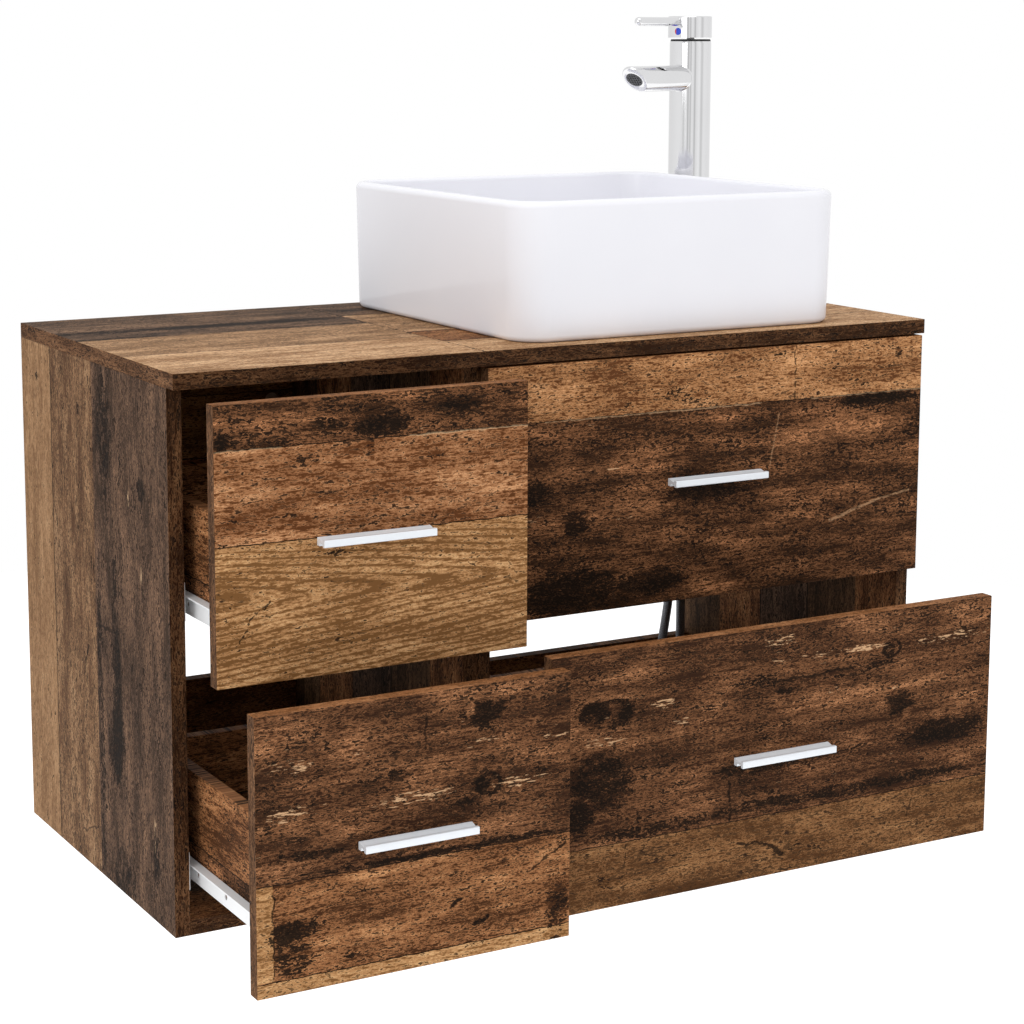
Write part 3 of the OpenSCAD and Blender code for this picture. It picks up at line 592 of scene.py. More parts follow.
def braided():
    """Steel braid over a hose: two sets of flat wires crossing over and under."""
    t = Tree("steel_braid")
    uv = t.node("SeparateXYZ", t.node("TexCoord").outputs["UV"])
    around = t.math("MULTIPLY", uv.outputs[0], 12.0)
    along = t.math("MULTIPLY", uv.outputs[1], 260.0)

    def strand(sign):
        turn = t.math("MULTIPLY_ADD", along, sign, around)
        wave = t.math("SINE", t.math("MULTIPLY", turn, 2 * math.pi))
        wires = t.math("SINE", t.math("MULTIPLY", turn, 8 * math.pi))
        return wave, t.math("MULTIPLY_ADD", wires, 0.16, t.math("ABSOLUTE", wave))

    left_wave, left = strand(1.0)
    right_wave, right = strand(-1.0)
    over = t.step(t.math("MULTIPLY", left_wave, right_wave), -0.12, 0.12)
    height = t.math("ADD", t.math("MULTIPLY", left, over),
                    t.math("MULTIPLY", right, t.math("SUBTRACT", 1.0, over)))
    stain = t.noise(t.scaled(t.place(), 0.15), 3.0, 0.6)
    lit = t.mix(stain, srgb(126, 128, 134), srgb(168, 170, 176))
    # Near black where the braid lies low between the wires: painted shade in the hollows of the
    # weave.
    t.set(Base_Color=t.mix(t.step(height, 0.10, 0.75), srgb(34, 34, 38), lit))
    t.shader.inputs["Metallic"].default_value = 0.9
    t.set(Roughness=t.math("MULTIPLY_ADD", stain, 0.2, 0.30))
    t.bump(height, 0.0005, 0.9)
    return t.material


def marker():
    """Round enamel marker: red on its hot side and blue on its cold side."""
    t = Tree("hot_cold_marker")
    split = t.node("SeparateXYZ", t.node("TexCoord").outputs["UV"])
    fine = t.noise(t.scaled(t.place(), 0.8), 2.0, 0.5)
    cold = t.mix(fine, srgb(28, 62, 190), srgb(46, 84, 216))
    hot = t.mix(fine, srgb(190, 34, 48), srgb(214, 56, 66))
    t.set(Base_Color=t.mix(t.step(split.outputs[0], 0.22, 0.26), hot, cold))
    t.set(Roughness=t.math("MULTIPLY_ADD", fine, 0.1, 0.15))
    t.bump(fine, 0.00003, 0.4)
    return t.material


def hardboard():
    """Thin drawer base: a pale printed film over fibreboard."""
    t = Tree("drawer_base")
    place = t.place()
    fibre = t.noise(t.vector("MULTIPLY", place, (0.05, 0.9, 0.9)), 5.0, 0.65)
    fleck = t.noise(t.scaled(place, 0.8), 3.0, 0.7)
    colour = t.mix(fibre, srgb(196, 190, 180), srgb(222, 217, 208))
    colour = t.mix(t.math("MULTIPLY", t.step(fleck, 0.58, 0.70), 0.35), colour, srgb(168, 156, 140))
    t.set(Base_Color=colour)
    t.set(Roughness=t.math("MULTIPLY_ADD", fibre, 0.2, 0.45))
    t.bump(fibre, 0.0001, 0.5)
    return t.material


CHROME = metal("polished_chrome", (0.80, 0.80, 0.81, 1.0), 0.06, 0.05)
ZINC = metal("zinc_plate", (0.60, 0.61, 0.62, 1.0), 0.34, 0.20, (0.08, 0.08, 0.08), 0.00004)
GLAZE = glazed()
HANDLE = satin()
EPOXY = plastic("white_epoxy", srgb(232, 233, 234), 0.36, 0.04, 0.00005, 0.9)
NYLON = plastic("white_nylon", srgb(214, 212, 204), 0.5, 0.05)
BLACK = plastic("black_plastic", srgb(44, 44, 47), 0.5, 0.2)
RUBBER = plastic("black_rubber", srgb(30, 30, 31), 0.7, 0.2)
AERATOR = plastic("aerator_plastic", srgb(66, 66, 68), 0.45, 0.25, 0.00012, 0.7)
CARTRIDGE = plastic("cartridge_plastic", srgb(208, 206, 198), 0.45, 0.06)
BRAID = braided()
MARKER = marker()
BASE = hardboard()


# ---------------------------------------------------------------- hoses
HOSE_R = 0.005
HOT_ROUTE = [
    (0.354, -0.034, 0.048), (0.354, -0.034, 0.030), (0.354, -0.034, 0.010),
    (0.353, -0.034, -0.014), (0.352, -0.033, -0.038), (0.351, -0.033, -0.062),
    (0.350, -0.032, -0.086), (0.349, -0.032, -0.110), (0.348, -0.031, -0.134),
    (0.3475, -0.031, -0.158), (0.3475, -0.031, -0.182), (0.3475, -0.031, -0.206),
    (0.3475, -0.031, -0.230), (0.347, -0.031, -0.254), (0.3455, -0.031, -0.278),
    (0.342, -0.031, -0.301), (0.338, -0.032, -0.320), (0.336, -0.032, -0.333),
    (0.336, -0.032, -0.344),
]
COLD_ROUTE = [
    (0.366, -0.041, 0.048), (0.366, -0.041, 0.030), (0.366, -0.041, 0.010),
    (0.366, -0.040, -0.014), (0.365, -0.039, -0.038), (0.364, -0.038, -0.062),
    (0.363, -0.037, -0.086), (0.3625, -0.036, -0.110), (0.362, -0.035, -0.134),
    (0.362, -0.034, -0.158), (0.3615, -0.033, -0.182), (0.361, -0.033, -0.206),
    (0.361, -0.033, -0.230), (0.361, -0.033, -0.254), (0.361, -0.033, -0.278),
    (0.361, -0.033, -0.302), (0.361, -0.033, -0.326), (0.361, -0.033, -0.356),
]


def build_nut(name, node):
    """A union nut with chamfered flats, and the crimped sleeve that holds the hose in it."""
    low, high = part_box(node)
    place = Matrix.Translation(((low.x + high.x) / 2, (low.y + high.y) / 2, high.z))
    tall = high.z - low.z
    flat = 0.0095 * math.cos(math.radians(30))
    sides = 96

    def hexagon(limit, height):
        ring = []
        for angle in turns(sides):
            off_flat = (math.degrees(angle) + 30) % 60 - 30
            reach = min(flat / math.cos(math.radians(off_flat)), limit)
            ring.append(place @ Vector((reach * math.cos(angle), reach * math.sin(angle), height)))
        return ring

    rings = [circle(place, r, z, sides) for r, z in (
        (0.00002, 0.0), (0.0068, 0.0), (0.0078, -0.0006), (0.0078, -0.003), (0.0080, -0.003))]
    rings += [hexagon(0.0086, -0.003), hexagon(0.0096, -0.0038),
              hexagon(0.0096, 0.0009 - tall), hexagon(0.0087, -tall)]
    rings += [circle(place, r, z, sides) for r, z in (
        (0.0079, -tall), (0.0076, 0.0004 - tall), (0.0076, 0.010 - tall), (0.00002, 0.010 - tall))]
    sleeve = [(0.00002, 0.0003), (0.0061, 0.0003), (0.0063, 0.001), (0.0063, 0.004),
              (0.0058, 0.005), (0.0058, 0.007), (0.0063, 0.008), (0.0063, 0.012),
              (0.0060, 0.013), (0.00002, 0.013)]
    mesh = mesh_of(name, loft(rings), lathe(place, sleeve, 48))
    return add_object(name, mesh, "vanity", node, CHROME)


def build_hose(name, node, route, nut_name, nut_node):
    """A braided hose swept along its route, with its braid laid out by the real length."""
    path = smooth_path(route)
    sides = 24
    rings = []
    along = [0.0]
    for i, point in enumerate(path):
        ahead = path[min(i + 1, len(path) - 1)] - path[max(i - 1, 0)]
        ahead.normalize()
        across = ahead.cross(Vector((0, 1, 0))).normalized()
        up = across.cross(ahead)
        rings.append([
            point + HOSE_R * (math.cos(a) * across + math.sin(a) * up) for a in turns(sides)
        ])
        if i:
            along.append(along[-1] + (point - path[i - 1]).length)
    mesh = mesh_of(name, loft(rings))
    layer = mesh.uv_layers.new(name="braid")
    for polygon in mesh.polygons:
        corners = list(polygon.loop_indices)
        places = [mesh.loops[c].vertex_index % sides for c in corners]
        wraps = max(places) - min(places) > sides / 2
        for c, turn in zip(corners, places):
            if wraps and turn == 0:
                turn = sides
            ring = mesh.loops[c].vertex_index // sides
            layer.data[c].uv = (turn / sides, along[ring])
    hose = add_object(name, mesh, "vanity", node, BRAID)
    nut = build_nut(nut_name, nut_node)


build_hose("hot_supply_hose", "hot_hose", HOT_ROUTE, "hot_supply_union", "hot_hose_nut")
build_hose("cold_supply_hose", "cold_hose", COLD_ROUTE, "cold_supply_union", "cold_hose_nut")


# ---------------------------------------------------------------- faces of the boards
def box_mm(node):
    """Lowest and highest corner of a CAD node in millimetres."""
    low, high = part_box(node)
    return low * 1000, high * 1000


def front_print(drawer, planks, seed, patches, marks, arches=None):
    """The print on a drawer front: along from its left end and across from its top edge."""
    low, high = box_mm(drawer + "_front")
    return old_wood(drawer + "_print", ("x", low.x, 1), ("z", high.z, -1), planks,
                    high.z - low.z, seed, patches, marks, arches)


UPPER_LEFT_PRINT = front_print(
    "upper_left", [(38, "charred"), (118, "orange"), (237, "yellow")], 1, (),
    {
        "blot": [
            (152, 28, 28, 9, 1.0), (8, 32, 10, 5, 0.8), (100, 25, 18, 6, 0.7),
            (230, 17, 20, 9, 0.7), (84, 52, 15, 5, 0.8), (143, 46, 4, 7, 0.8), (160, 44, 7, 5, 0.5),
            (206, 57, 9, 4, 0.9), (240, 52, 15, 7, 0.5), (70, 97, 10, 2, 1.0),
            (90, 101, 5, 1.6, 0.8), (16, 96, 9, 3, 0.6), (8, 79, 9, 2, 0.6), (272, 80, 10, 3, 0.6),
            (113, 132, 17, 4, 1.0), (56, 231, 14, 1.8, 0.8),
        ],
        "wash": [(268, 162, 5, 15, 0.8)],
        "pale": [(193, 31, 6, 3, 1.0)],
        "crack": [
            (262, 67, 295, 70, 0.8, 0.8), (208, 117, 228, 104, 0.7, 0.7),
            (48, 168, 31, 182, 1.0, 0.9), (31, 182, 20, 200, 0.9, 0.9),
        ],
        "lip": [(180, 38.8, 295, 38.8, 0.8, 0.9), (0, 38.6, 60, 38.8, 0.7, 0.6)],
    },
    (250, 165, 0.10, 6.0, 121))

LOWER_LEFT_PRINT = front_print(
    "lower_left", [(142, "worn"), (224, "brown"), (237, "yellow")], 2,
    [(-5, 15, 142.6, 223.6, "yellow")],
    {
        "blot": [
            (210, 27, 20, 12, 1.0), (207, 87, 8, 6, 0.8), (192, 101, 15, 5, 0.8),
            (45, 122, 52, 3.5, 0.8), (130, 67, 15, 4, 0.7), (210, 139, 90, 3, 0.9),
            (120, 139, 60, 2.5, 0.7), (30, 202, 22, 24, 1.0), (32, 183, 26, 8, 0.9),
            (283, 212, 12, 27, 1.0), (88, 215, 11, 4, 0.8), (150, 152, 10, 7, 0.35),
        ],
        "wash": [(197, 20, 5, 5, 1.0)],
        "knot": [(215, 87, 11, 9, 0.8)],
        "pale": [
            (30, 85, 24, 7, 1.0), (145, 88, 42, 6, 1.0), (245, 89, 28, 5, 1.0),
            (30, 45, 30, 6, 0.9), (215, 48, 20, 3, 0.8), (280, 54, 14, 2.5, 0.9),
            (95, 45, 9, 6, 0.7),
        ],
        "crack": [
            (155, 20, 155, 48, 1.4, 0.8), (179, 189, 187, 184, 2.0, 1.0),
            (200, 210, 213, 204, 1.8, 1.0), (100, 143, 120, 148, 0.9, 0.9),
            (258, 169, 292, 151, 1.2, 0.9), (15, 142, 15, 224, 0.8, 0.9),
        ],
    })

UPPER_RIGHT_PRINT = front_print(
    "upper_right", [(53, "rusty"), (237, "charred")], 3, (),
    {
        "blot": [
            (467, 14, 6, 6, 1.0), (95, 33, 11, 4, 0.7), (145, 45, 8, 5, 0.7), (162, 35, 9, 6, 0.5),
            (205, 38, 15, 8, 0.6), (232, 41, 13, 6, 0.5), (320, 5, 15, 3, 0.6),
            (455, 30, 12, 5, 0.5), (93, 150, 15, 12, 1.0), (50, 118, 15, 11, 0.9),
            (85, 217, 62, 20, 0.95), (180, 214, 32, 14, 0.9), (440, 60, 52, 6, 0.9),
            (240, 131, 42, 12, 0.7),
        ],
        "wash": [
            (400, 86, 70, 11, 0.8), (345, 97, 34, 10, 0.7), (240, 229, 46, 7, 0.8),
            (330, 172, 44, 9, 0.5), (110, 100, 40, 12, 0.4), (430, 190, 50, 12, 0.4),
        ],
        "pale": [
            (106, 60, 7, 3, 1.0), (145, 148, 15, 6, 0.8), (135, 103, 9, 1.6, 1.0),
            (50, 145, 20, 5, 0.8),
        ],
        "crack": [(340, 0, 340, 52, 1.0, 0.8)],
        "lip": [
            (60, 53.8, 300, 54.0, 0.8, 0.9), (360, 53.6, 495, 53.4, 0.7, 0.8),
            (385, 177, 440, 162, 1.6, 0.8), (440, 162, 482, 155, 1.2, 0.8),
            (322, 65, 312, 115, 0.9, 0.5),
        ],
    })

LOWER_RIGHT_PRINT = front_print(
    "lower_right", [(178, "worn"), (237, "speckled")], 4, (),
    {
        "blot": [
            (45, 55, 14, 9, 1.0), (75, 60, 8, 6, 0.6), (372, 37, 6, 6, 0.7), (362, 50, 15, 3, 0.7),
            (385, 91, 17, 12, 1.0), (253, 62, 15, 3, 0.9), (50, 120, 34, 30, 0.8),
            (28, 150, 14, 14, 0.9), (250, 128, 82, 8, 0.85), (445, 125, 52, 14, 0.95),
            (330, 167, 170, 6, 0.85), (100, 171, 82, 6, 0.7), (55, 213, 8, 8, 1.0),
            (73, 211, 4, 4, 0.9), (283, 218, 9, 2, 0.8),
        ],
        "wash": [(395, 102, 5.5, 5.5, 1.0)],
        "knot": [(56, 57, 26, 12, 0.5), (375, 37, 9, 8, 0.8)],
        "pale": [
            (118, 56, 15, 5, 1.0), (245, 13, 20, 6, 1.0), (290, 33, 60, 3, 0.8),
            (345, 33, 26, 4, 1.0), (440, 34, 42, 5, 1.0), (55, 82, 28, 4, 0.9),
            (137, 75, 9, 3, 1.0), (307, 70, 10, 2.5, 1.0), (380, 77, 7, 2, 0.9),
        ],
        "crack": [
            (225, 52, 330, 50, 1.7, 0.9), (190, 140, 191, 176, 1.6, 0.9),
            (79, 180, 77, 202, 0.8, 0.8), (200, 201, 232, 205, 1.7, 0.9),
            (232, 205, 250, 219, 2.2, 0.9), (405, 182, 398, 205, 1.0, 0.7),
        ],
    })

# The middle plank of the outer sides uses the copy of speckled painted paler for sheen.
SIDE_PLANKS = [(84, "tan"), (199, "speckled_painted_side_sheen"), (384, "grey")]
SIDE_MARKS = {
    "blot": [
        (32, 45, 6, 4, 1.0), (52, 117, 7, 6, 0.9), (50, 163, 7, 6, 0.9), (100, 320, 12, 10, 1.0),
        (182, 90, 7, 4, 0.8), (65, 228, 62, 22, 0.8), (280, 250, 95, 12, 0.9),
        (330, 208, 165, 7, 0.8), (350, 246, 32, 22, 0.8), (470, 258, 30, 24, 0.9),
        (430, 340, 26, 10, 0.8), (475, 45, 8, 4, 0.9), (400, 62, 5, 14, 0.6), (435, 62, 8, 3, 0.6),
    ],
    "pale": [
        (110, 290, 12, 3, 1.0), (178, 318, 10, 3, 1.0), (400, 340, 24, 4, 0.9),
        (290, 245, 7, 3, 0.8),
    ],
    "crack": [
        (188, 193, 206, 197, 1.4, 0.9), (270, 176, 302, 162, 1.4, 0.9),
        (240, 178, 270, 176, 1.0, 0.7), (245, 199, 243, 238, 1.8, 0.8),
        (458, 150, 440, 199, 1.2, 0.7),
    ],
}


def side_print(name, seed):
    """The upright planks on a cabinet's outer side, from the wall forward."""
    top = box_mm("narrow_left_side")[1].z
    return old_wood(name, ("z", top, -1), ("y", 0.0, -1), SIDE_PLANKS, 384.0, seed, (),
                    SIDE_MARKS)


def top_print(node, planks, seed, patches, marks):
    """The print on a counter: along from its left end and across from the wall."""
    left = box_mm(node)[0].x
    return old_wood(node + "_print", ("x", left, 1), ("y", 0.0, -1), planks, 400.0, seed,
                    patches, marks)


# Both counter prints use the plank copies painted lighter for the light falling on the tops from
# above.
NARROW_TOP_PRINT = top_print(
    "narrow_top", [(165, "grey_painted_top_light"), (280, "speckled_painted_top_light"), (362, "tan_painted_top_light"), (400, "tan_painted_top_light")], 6,
    (),
    {
        "blot": [
            (90, 112, 120, 12, 0.8), (220, 110, 80, 12, 0.9), (40, 160, 60, 5, 0.7),
            (240, 158, 60, 5, 0.7), (110, 275, 8, 4, 0.8),
        ],
        "wash": [(60, 70, 60, 12, 0.5), (210, 80, 50, 14, 0.5)],
        "crack": [(228, 165, 228, 360, 0.7, 0.3), (299.4, 0, 299.4, 400, 1.0, 1.0)],
    })
SINK_TOP_PRINT = top_print(
    "sink_top", [(100, "grey_painted_top_light"), (243, "speckled_painted_top_light"), (320, "brown"), (400, "tan_painted_top_light")], 7,
    [(330, 505, 243.5, 320, "tan_painted_top_light")],
    {
        "blot": [
            (25, 247, 40, 5, 0.5), (30, 318, 30, 3, 0.4), (40, 60, 40, 14, 0.6),
            (490, 300, 12, 8, 0.6), (465, 370, 6, 4, 0.7),
        ],
        "crack": [(0.4, 0, 0.4, 400, 0.8, 0.8), (400, 322, 500, 321, 1.0, 0.6)],
    })


def run_print(name, along, across, planks, seed):
    """A print without single marks, as wide as its planks."""
    return old_wood(name, along, across, planks, float(planks[-1][0]), seed)


INNER_PLANKS = [(74, "shade"), (152, "brown"), (236, "grey"), (318, "shade"), (400, "brown")]
# The upper rail's last plank, 134 to 160 mm down from its top, is near black along the rail's lower
# edge.
UPPER_RAIL_PLANKS = [(70, "rail"), (134, "rail"), (160, "charred")]
LOWER_RAIL_PLANKS = [(30, "rail"), (110, "speckled")]
BOX_PLANKS = [(19, "brown"), (33, "charred"), (98, "brown")]
EDGE_WIDE = [(800, "band_dark")]
SIDE_INNER = run_print("inner_side_print", ("z", 0, 1), ("y", 0, -1), INNER_PLANKS, 11)
UPPER_RAIL = run_print("upper_rail_print", ("x", 0, 1), ("z", 66, -1), UPPER_RAIL_PLANKS, 12)
LOWER_RAIL = run_print("lower_rail_print", ("x", 0, 1), ("z", -406, 1), LOWER_RAIL_PLANKS, 13)
FLAT_PRINT = run_print("flat_board_print", ("x", 0, 1), ("y", 0, -1), INNER_PLANKS, 13)
BAND_X = run_print("front_edge_band", ("x", 0, 1), ("z", -420, 1), EDGE_WIDE, 14)
BAND_Y = run_print("side_edge_band", ("y", 0, 1), ("z", -420, 1), [(800, "band_mid")], 15)
BAND_Z = run_print("upright_edge_band", ("z", 0, 1), ("x", -400, 1), EDGE_WIDE, 16)
FRONT_BAND_X = run_print("drawer_top_band", ("x", 0, 1), ("y", 0, -1), [(800, "band_light")], 17)
FRONT_BAND_Z = run_print("drawer_side_band", ("z", 0, 1), ("y", 0, -1), [(800, "band_mid")], 18)
LEFT_SIDE_PRINT = side_print("left_side_print", 5)
RIGHT_SIDE_PRINT = side_print("right_side_print", 8)
BEECH = run_print("beech_dowel", ("x", 0, 1), ("y", 0, -1), [(400, "beech")], 19)

DIRECTIONS = {
    "left": (-1, 0, 0), "right": (1, 0, 0), "front": (0, -1, 0),
    "back": (0, 1, 0), "under": (0, 0, -1), "top": (0, 0, 1),
}


def paint(node, default, **faces):
    """Gives a CAD node its materials: the default, and others on faces that look a given way."""
    mesh = NODES[node].data
    mesh.materials.clear()
    mesh.materials.append(default)
    mesh.polygons.foreach_set("material_index", [0] * len(mesh.polygons))
    for way, material in faces.items():
        mesh.materials.append(material)
        index = len(mesh.materials) - 1
        direction = Vector(DIRECTIONS[way])
        for polygon in mesh.polygons:
            if polygon.normal.dot(direction) > 0.9:
                polygon.material_index = index
    mesh.update()


LONG_EDGE = 0.012


def ease(node, width=0.0):
    """Welds a CAD node's equal corners and shades its round faces smooth. With a width, the
    long sharp edges of a board are bevelled by that much."""
    mesh = NODES[node].data
    if "custom_normal" in mesh.attributes:
        mesh.attributes.remove(mesh.attributes["custom_normal"])
    corner = [tuple(round(c * 1e6) for c in vertex.co) for vertex in mesh.vertices]
    beside = {}
    for polygon in mesh.polygons:
        for a, b in polygon.edge_keys:
            pair = tuple(sorted((corner[a], corner[b])))
            beside.setdefault(pair, []).append(polygon.normal.copy())
    sharp = []
    weights = []
    for edge in mesh.edges:
        a, b = edge.vertices
        normals = beside[tuple(sorted((corner[a], corner[b])))]
        hard = any(n.dot(m) < 0.8 for n in normals for m in normals)
        length = (mesh.vertices[a].co - mesh.vertices[b].co).length
        sharp.append(hard)
        weights.append(1.0 if hard and length > LONG_EDGE else 0.0)
    marked = mesh.attributes.get("sharp_edge") or mesh.attributes.new("sharp_edge", "BOOLEAN", "EDGE")
    marked.data.foreach_set("value", sharp)
    for polygon in mesh.polygons:
        polygon.use_smooth = True
    weld = NODES[node].modifiers.new("weld", "WELD")
    weld.merge_threshold = 0.000002
    if width > 0.0:
        kept = mesh.attributes.new("bevel_weight_edge", "FLOAT", "EDGE")
        kept.data.foreach_set("value", weights)
        bevel = NODES[node].modifiers.new("eased_edges", "BEVEL")
        bevel.limit_method = "WEIGHT"
        bevel.width = width
        bevel.segments = 2
        bevel.use_clamp_overlap = False


def solids_of(mesh):
    """Lists of polygons, one for each separate solid, joined by equal corner places."""
    parent = {}

    def find(k):
        while parent.setdefault(k, k) != k:
            parent[k] = parent[parent[k]]
            k = parent[k]
        return k

    keys = [tuple(round(c * 1e6) for c in v.co) for v in mesh.vertices]
    for polygon in mesh.polygons:
        first = find(keys[polygon.vertices[0]])
        for index in polygon.vertices[1:]:
            parent[find(keys[index])] = first
    groups = {}
    for polygon in mesh.polygons:
        groups.setdefault(find(keys[polygon.vertices[0]]), []).append(polygon)
    return list(groups.values())


def paint_runners(node):
    """White enamelled steel, with nylon rollers and zinc screws and axles."""
    mesh = NODES[node].data
    mesh.materials.clear()
    for material in (EPOXY, NYLON, ZINC):
        mesh.materials.append(material)
    for solid in solids_of(mesh):
        places = [mesh.vertices[i].co for polygon in solid for i in polygon.vertices]
        size = [max(p[i] for p in places) - min(p[i] for p in places) for i in range(3)]
        index = 0
        if abs(size[1] - 0.014) < 0.0005 and size[0] < 0.006:
            index = 1
        elif size[1] < 0.0075:
            index = 2
        for polygon in solid:
            polygon.material_index = index
    mesh.update()
    ease(node)


BOARD_EASE = 0.4 * MM
FRONT_EASE = 0.5 * MM
paint("narrow_left_side", SIDE_INNER, left=LEFT_SIDE_PRINT, front=BAND_Z)
paint("narrow_right_side", SIDE_INNER, front=BAND_Z)
paint("sink_left_side", SIDE_INNER, front=BAND_Z)
paint("sink_right_side", SIDE_INNER, right=RIGHT_SIDE_PRINT, front=BAND_Z)
paint("narrow_top", FLAT_PRINT, top=NARROW_TOP_PRINT, front=BAND_X, left=BAND_Y, right=BAND_Y)
paint("sink_top", FLAT_PRINT, top=SINK_TOP_PRINT, front=BAND_X, left=BAND_Y, right=BAND_Y)
for cabinet in ("narrow_", "sink_"):
    paint(cabinet + "bottom", FLAT_PRINT, front=BAND_X)
    paint(cabinet + "upper_rail", UPPER_RAIL, under=BAND_X, top=BAND_X)
    paint(cabinet + "lower_rail", LOWER_RAIL, under=BAND_X, top=BAND_X)
    paint_runners(cabinet + "runners")
    for part in ("left_side", "right_side", "top", "bottom", "upper_rail", "lower_rail"):
        ease(cabinet + part, BOARD_EASE)

DRAWERS = {
    "upper_left": UPPER_LEFT_PRINT, "lower_left": LOWER_LEFT_PRINT,
    "upper_right": UPPER_RIGHT_PRINT, "lower_right": LOWER_RIGHT_PRINT,
}
box_prints = {}
for drawer, front_material in DRAWERS.items():
    foot = box_mm(drawer + "_sides")[0].z
    box_print = run_print(drawer + "_box_print", ("y", 0, -1), ("z", foot, 1), BOX_PLANKS, 21)
    back_print = run_print(drawer + "_back_print", ("x", 0, 1), ("z", foot, 1), BOX_PLANKS, 22)
    box_prints[drawer] = box_print
    paint(drawer + "_front", FRONT_BAND_X, front=front_material, left=FRONT_BAND_Z,
          right=FRONT_BAND_Z, back=back_print)
    ease(drawer + "_front", FRONT_EASE)
    paint(drawer + "_sides", box_print)
    ease(drawer + "_sides", BOARD_EASE)
    paint(drawer + "_back", back_print)
    paint(drawer + "_base", BASE)
    paint_runners(drawer + "_runners")
# The boards round the drain lie past the last plank of this print, where it stays plain
paint("upper_right_notch", box_prints["lower_right"])

HARDWARE = {
    "dowels": BEECH, "cam_locks": ZINC, "cabinet_connectors": ZINC, "tap_gasket": RUBBER,
    "tap_fixing": ZINC, "tap_aerator": AERATOR, "tap_cartridge": CARTRIDGE, "tap_stem": ZINC,
    "hose_ferrules": ZINC, "drain_body": CHROME, "drain_locknut": BLACK,
}
for node, material in HARDWARE.items():
    paint(node, material)
    ease(node)


# ---------------------------------------------------------------- basin
CORNER_STEPS = 14


def rounded(place, half_x, half_y, radius, height):
    """A ring shaped as a rounded rectangle; with the radius equal to both halves, a circle."""
    out = []
    for quarter in range(4):
        sign_x = (1, -1, -1, 1)[quarter]
        sign_y = (1, 1, -1, -1)[quarter]
        for k in range(CORNER_STEPS):
            angle = math.radians(90 * quarter + 90 * (k + 0.5) / CORNER_STEPS)
            out.append(place @ Vector((
                sign_x * (half_x - radius) + radius * math.cos(angle),
                sign_y * (half_y - radius) + radius * math.sin(angle),
                height,
            )))
    return out


def build_basin():
    """A square bowl with drafted walls, a rounded rim and a recess for the waste."""
    low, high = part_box("basin")
    middle = (low + high) / 2
    place = Matrix.Translation((middle.x, middle.y, low.z))
    half_x = (high.x - low.x) / 2
    half_y = (high.y - low.y) / 2
    tall = high.z - low.z
    corner, wall, draft, foot = 38 * MM, 11 * MM, 2.6 * MM, 6 * MM
    lip, inner_lip, floor, bowl = 6.5 * MM, 4 * MM, 18 * MM, 20 * MM
    rings = []

    def ring(inset, height):
        rings.append(rounded(place, half_x - inset, half_y - inset, corner - inset, height))

    def disc(radius, height):
        rings.append(rounded(place, radius, radius, radius, height))

    disc(22.5 * MM, 0.0)
    for x, z in arc(draft + foot, foot, foot, -90, -180, 7):
        ring(x, z)
    for x, z in arc(lip, tall - lip, lip, 180, 90, 9):
        ring(x, z)
    for x, z in arc(wall - inner_lip, tall - inner_lip, inner_lip, 90, 0, 6):
        ring(x, z)
    for x, z in arc(wall + bowl, floor + bowl, bowl, 180, 270, 12):
        ring(x, z)
    disc(134 * MM, floor)
    disc(120 * MM, floor - 0.5 * MM)
    disc(34 * MM, 13.2 * MM)
    disc(33 * MM, 12.6 * MM)
    disc(33 * MM, 11 * MM)
    disc(23 * MM, 11 * MM)
    disc(22.5 * MM, 10.5 * MM)
    mesh = mesh_of("vessel_basin", loft(rings, closed=True))
    add_object("vessel_basin", mesh, "vanity", "basin", GLAZE)


build_basin()


# ---------------------------------------------------------------- drain plug
def build_plug():
    """A domed plug on its stem."""
    low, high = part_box("drain_plug")
    place = Matrix.Translation(((low.x + high.x) / 2, (low.y + high.y) / 2, high.z))
    dome = [(0, 0), (8, -0.1), (16, -0.45), (23, -1.1), (28, -1.9), (30.2, -2.7), (31, -3.6),
            (31, -4.4), (30.4, -5.0), (29.5, -5.2), (4, -5.2)]
    profile = [(r * MM, z * MM) for r, z in dome]
    profile += [(4 * MM, low.z - high.z + 0.5 * MM), (3.5 * MM, low.z - high.z), (0, low.z - high.z)]
    mesh = mesh_of("basin_plug", lathe(place, profile))
    add_object("basin_plug", mesh, "plug", "drain_plug", CHROME)


build_plug()


# ---------------------------------------------------------------- tap
TAP_LOW, TAP_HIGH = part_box("tap_gasket")
AXIS = (TAP_LOW + TAP_HIGH) / 2
TAP_TURN = math.radians(180 + 23)
TAP_BASE = TAP_HIGH.z
COLUMN_R = 22.75 * MM
SPOUT_Z = 230.5 * MM
SPOUT_R = 13.75 * MM
SPOUT_REACH = 124 * MM
PIVOT_Z = 263.5 * MM
CROWN_R = 23.2 * MM
CROWN_TOP = PIVOT_Z + 9 * MM
PAINTED_SHADE_RING_H = 2.4 * MM
AERATOR_R = 9.3 * MM
ON_TAP = (Matrix.Translation((AXIS.x, AXIS.y, TAP_BASE)) @ Matrix.Rotation(TAP_TURN, 4, "Z"))


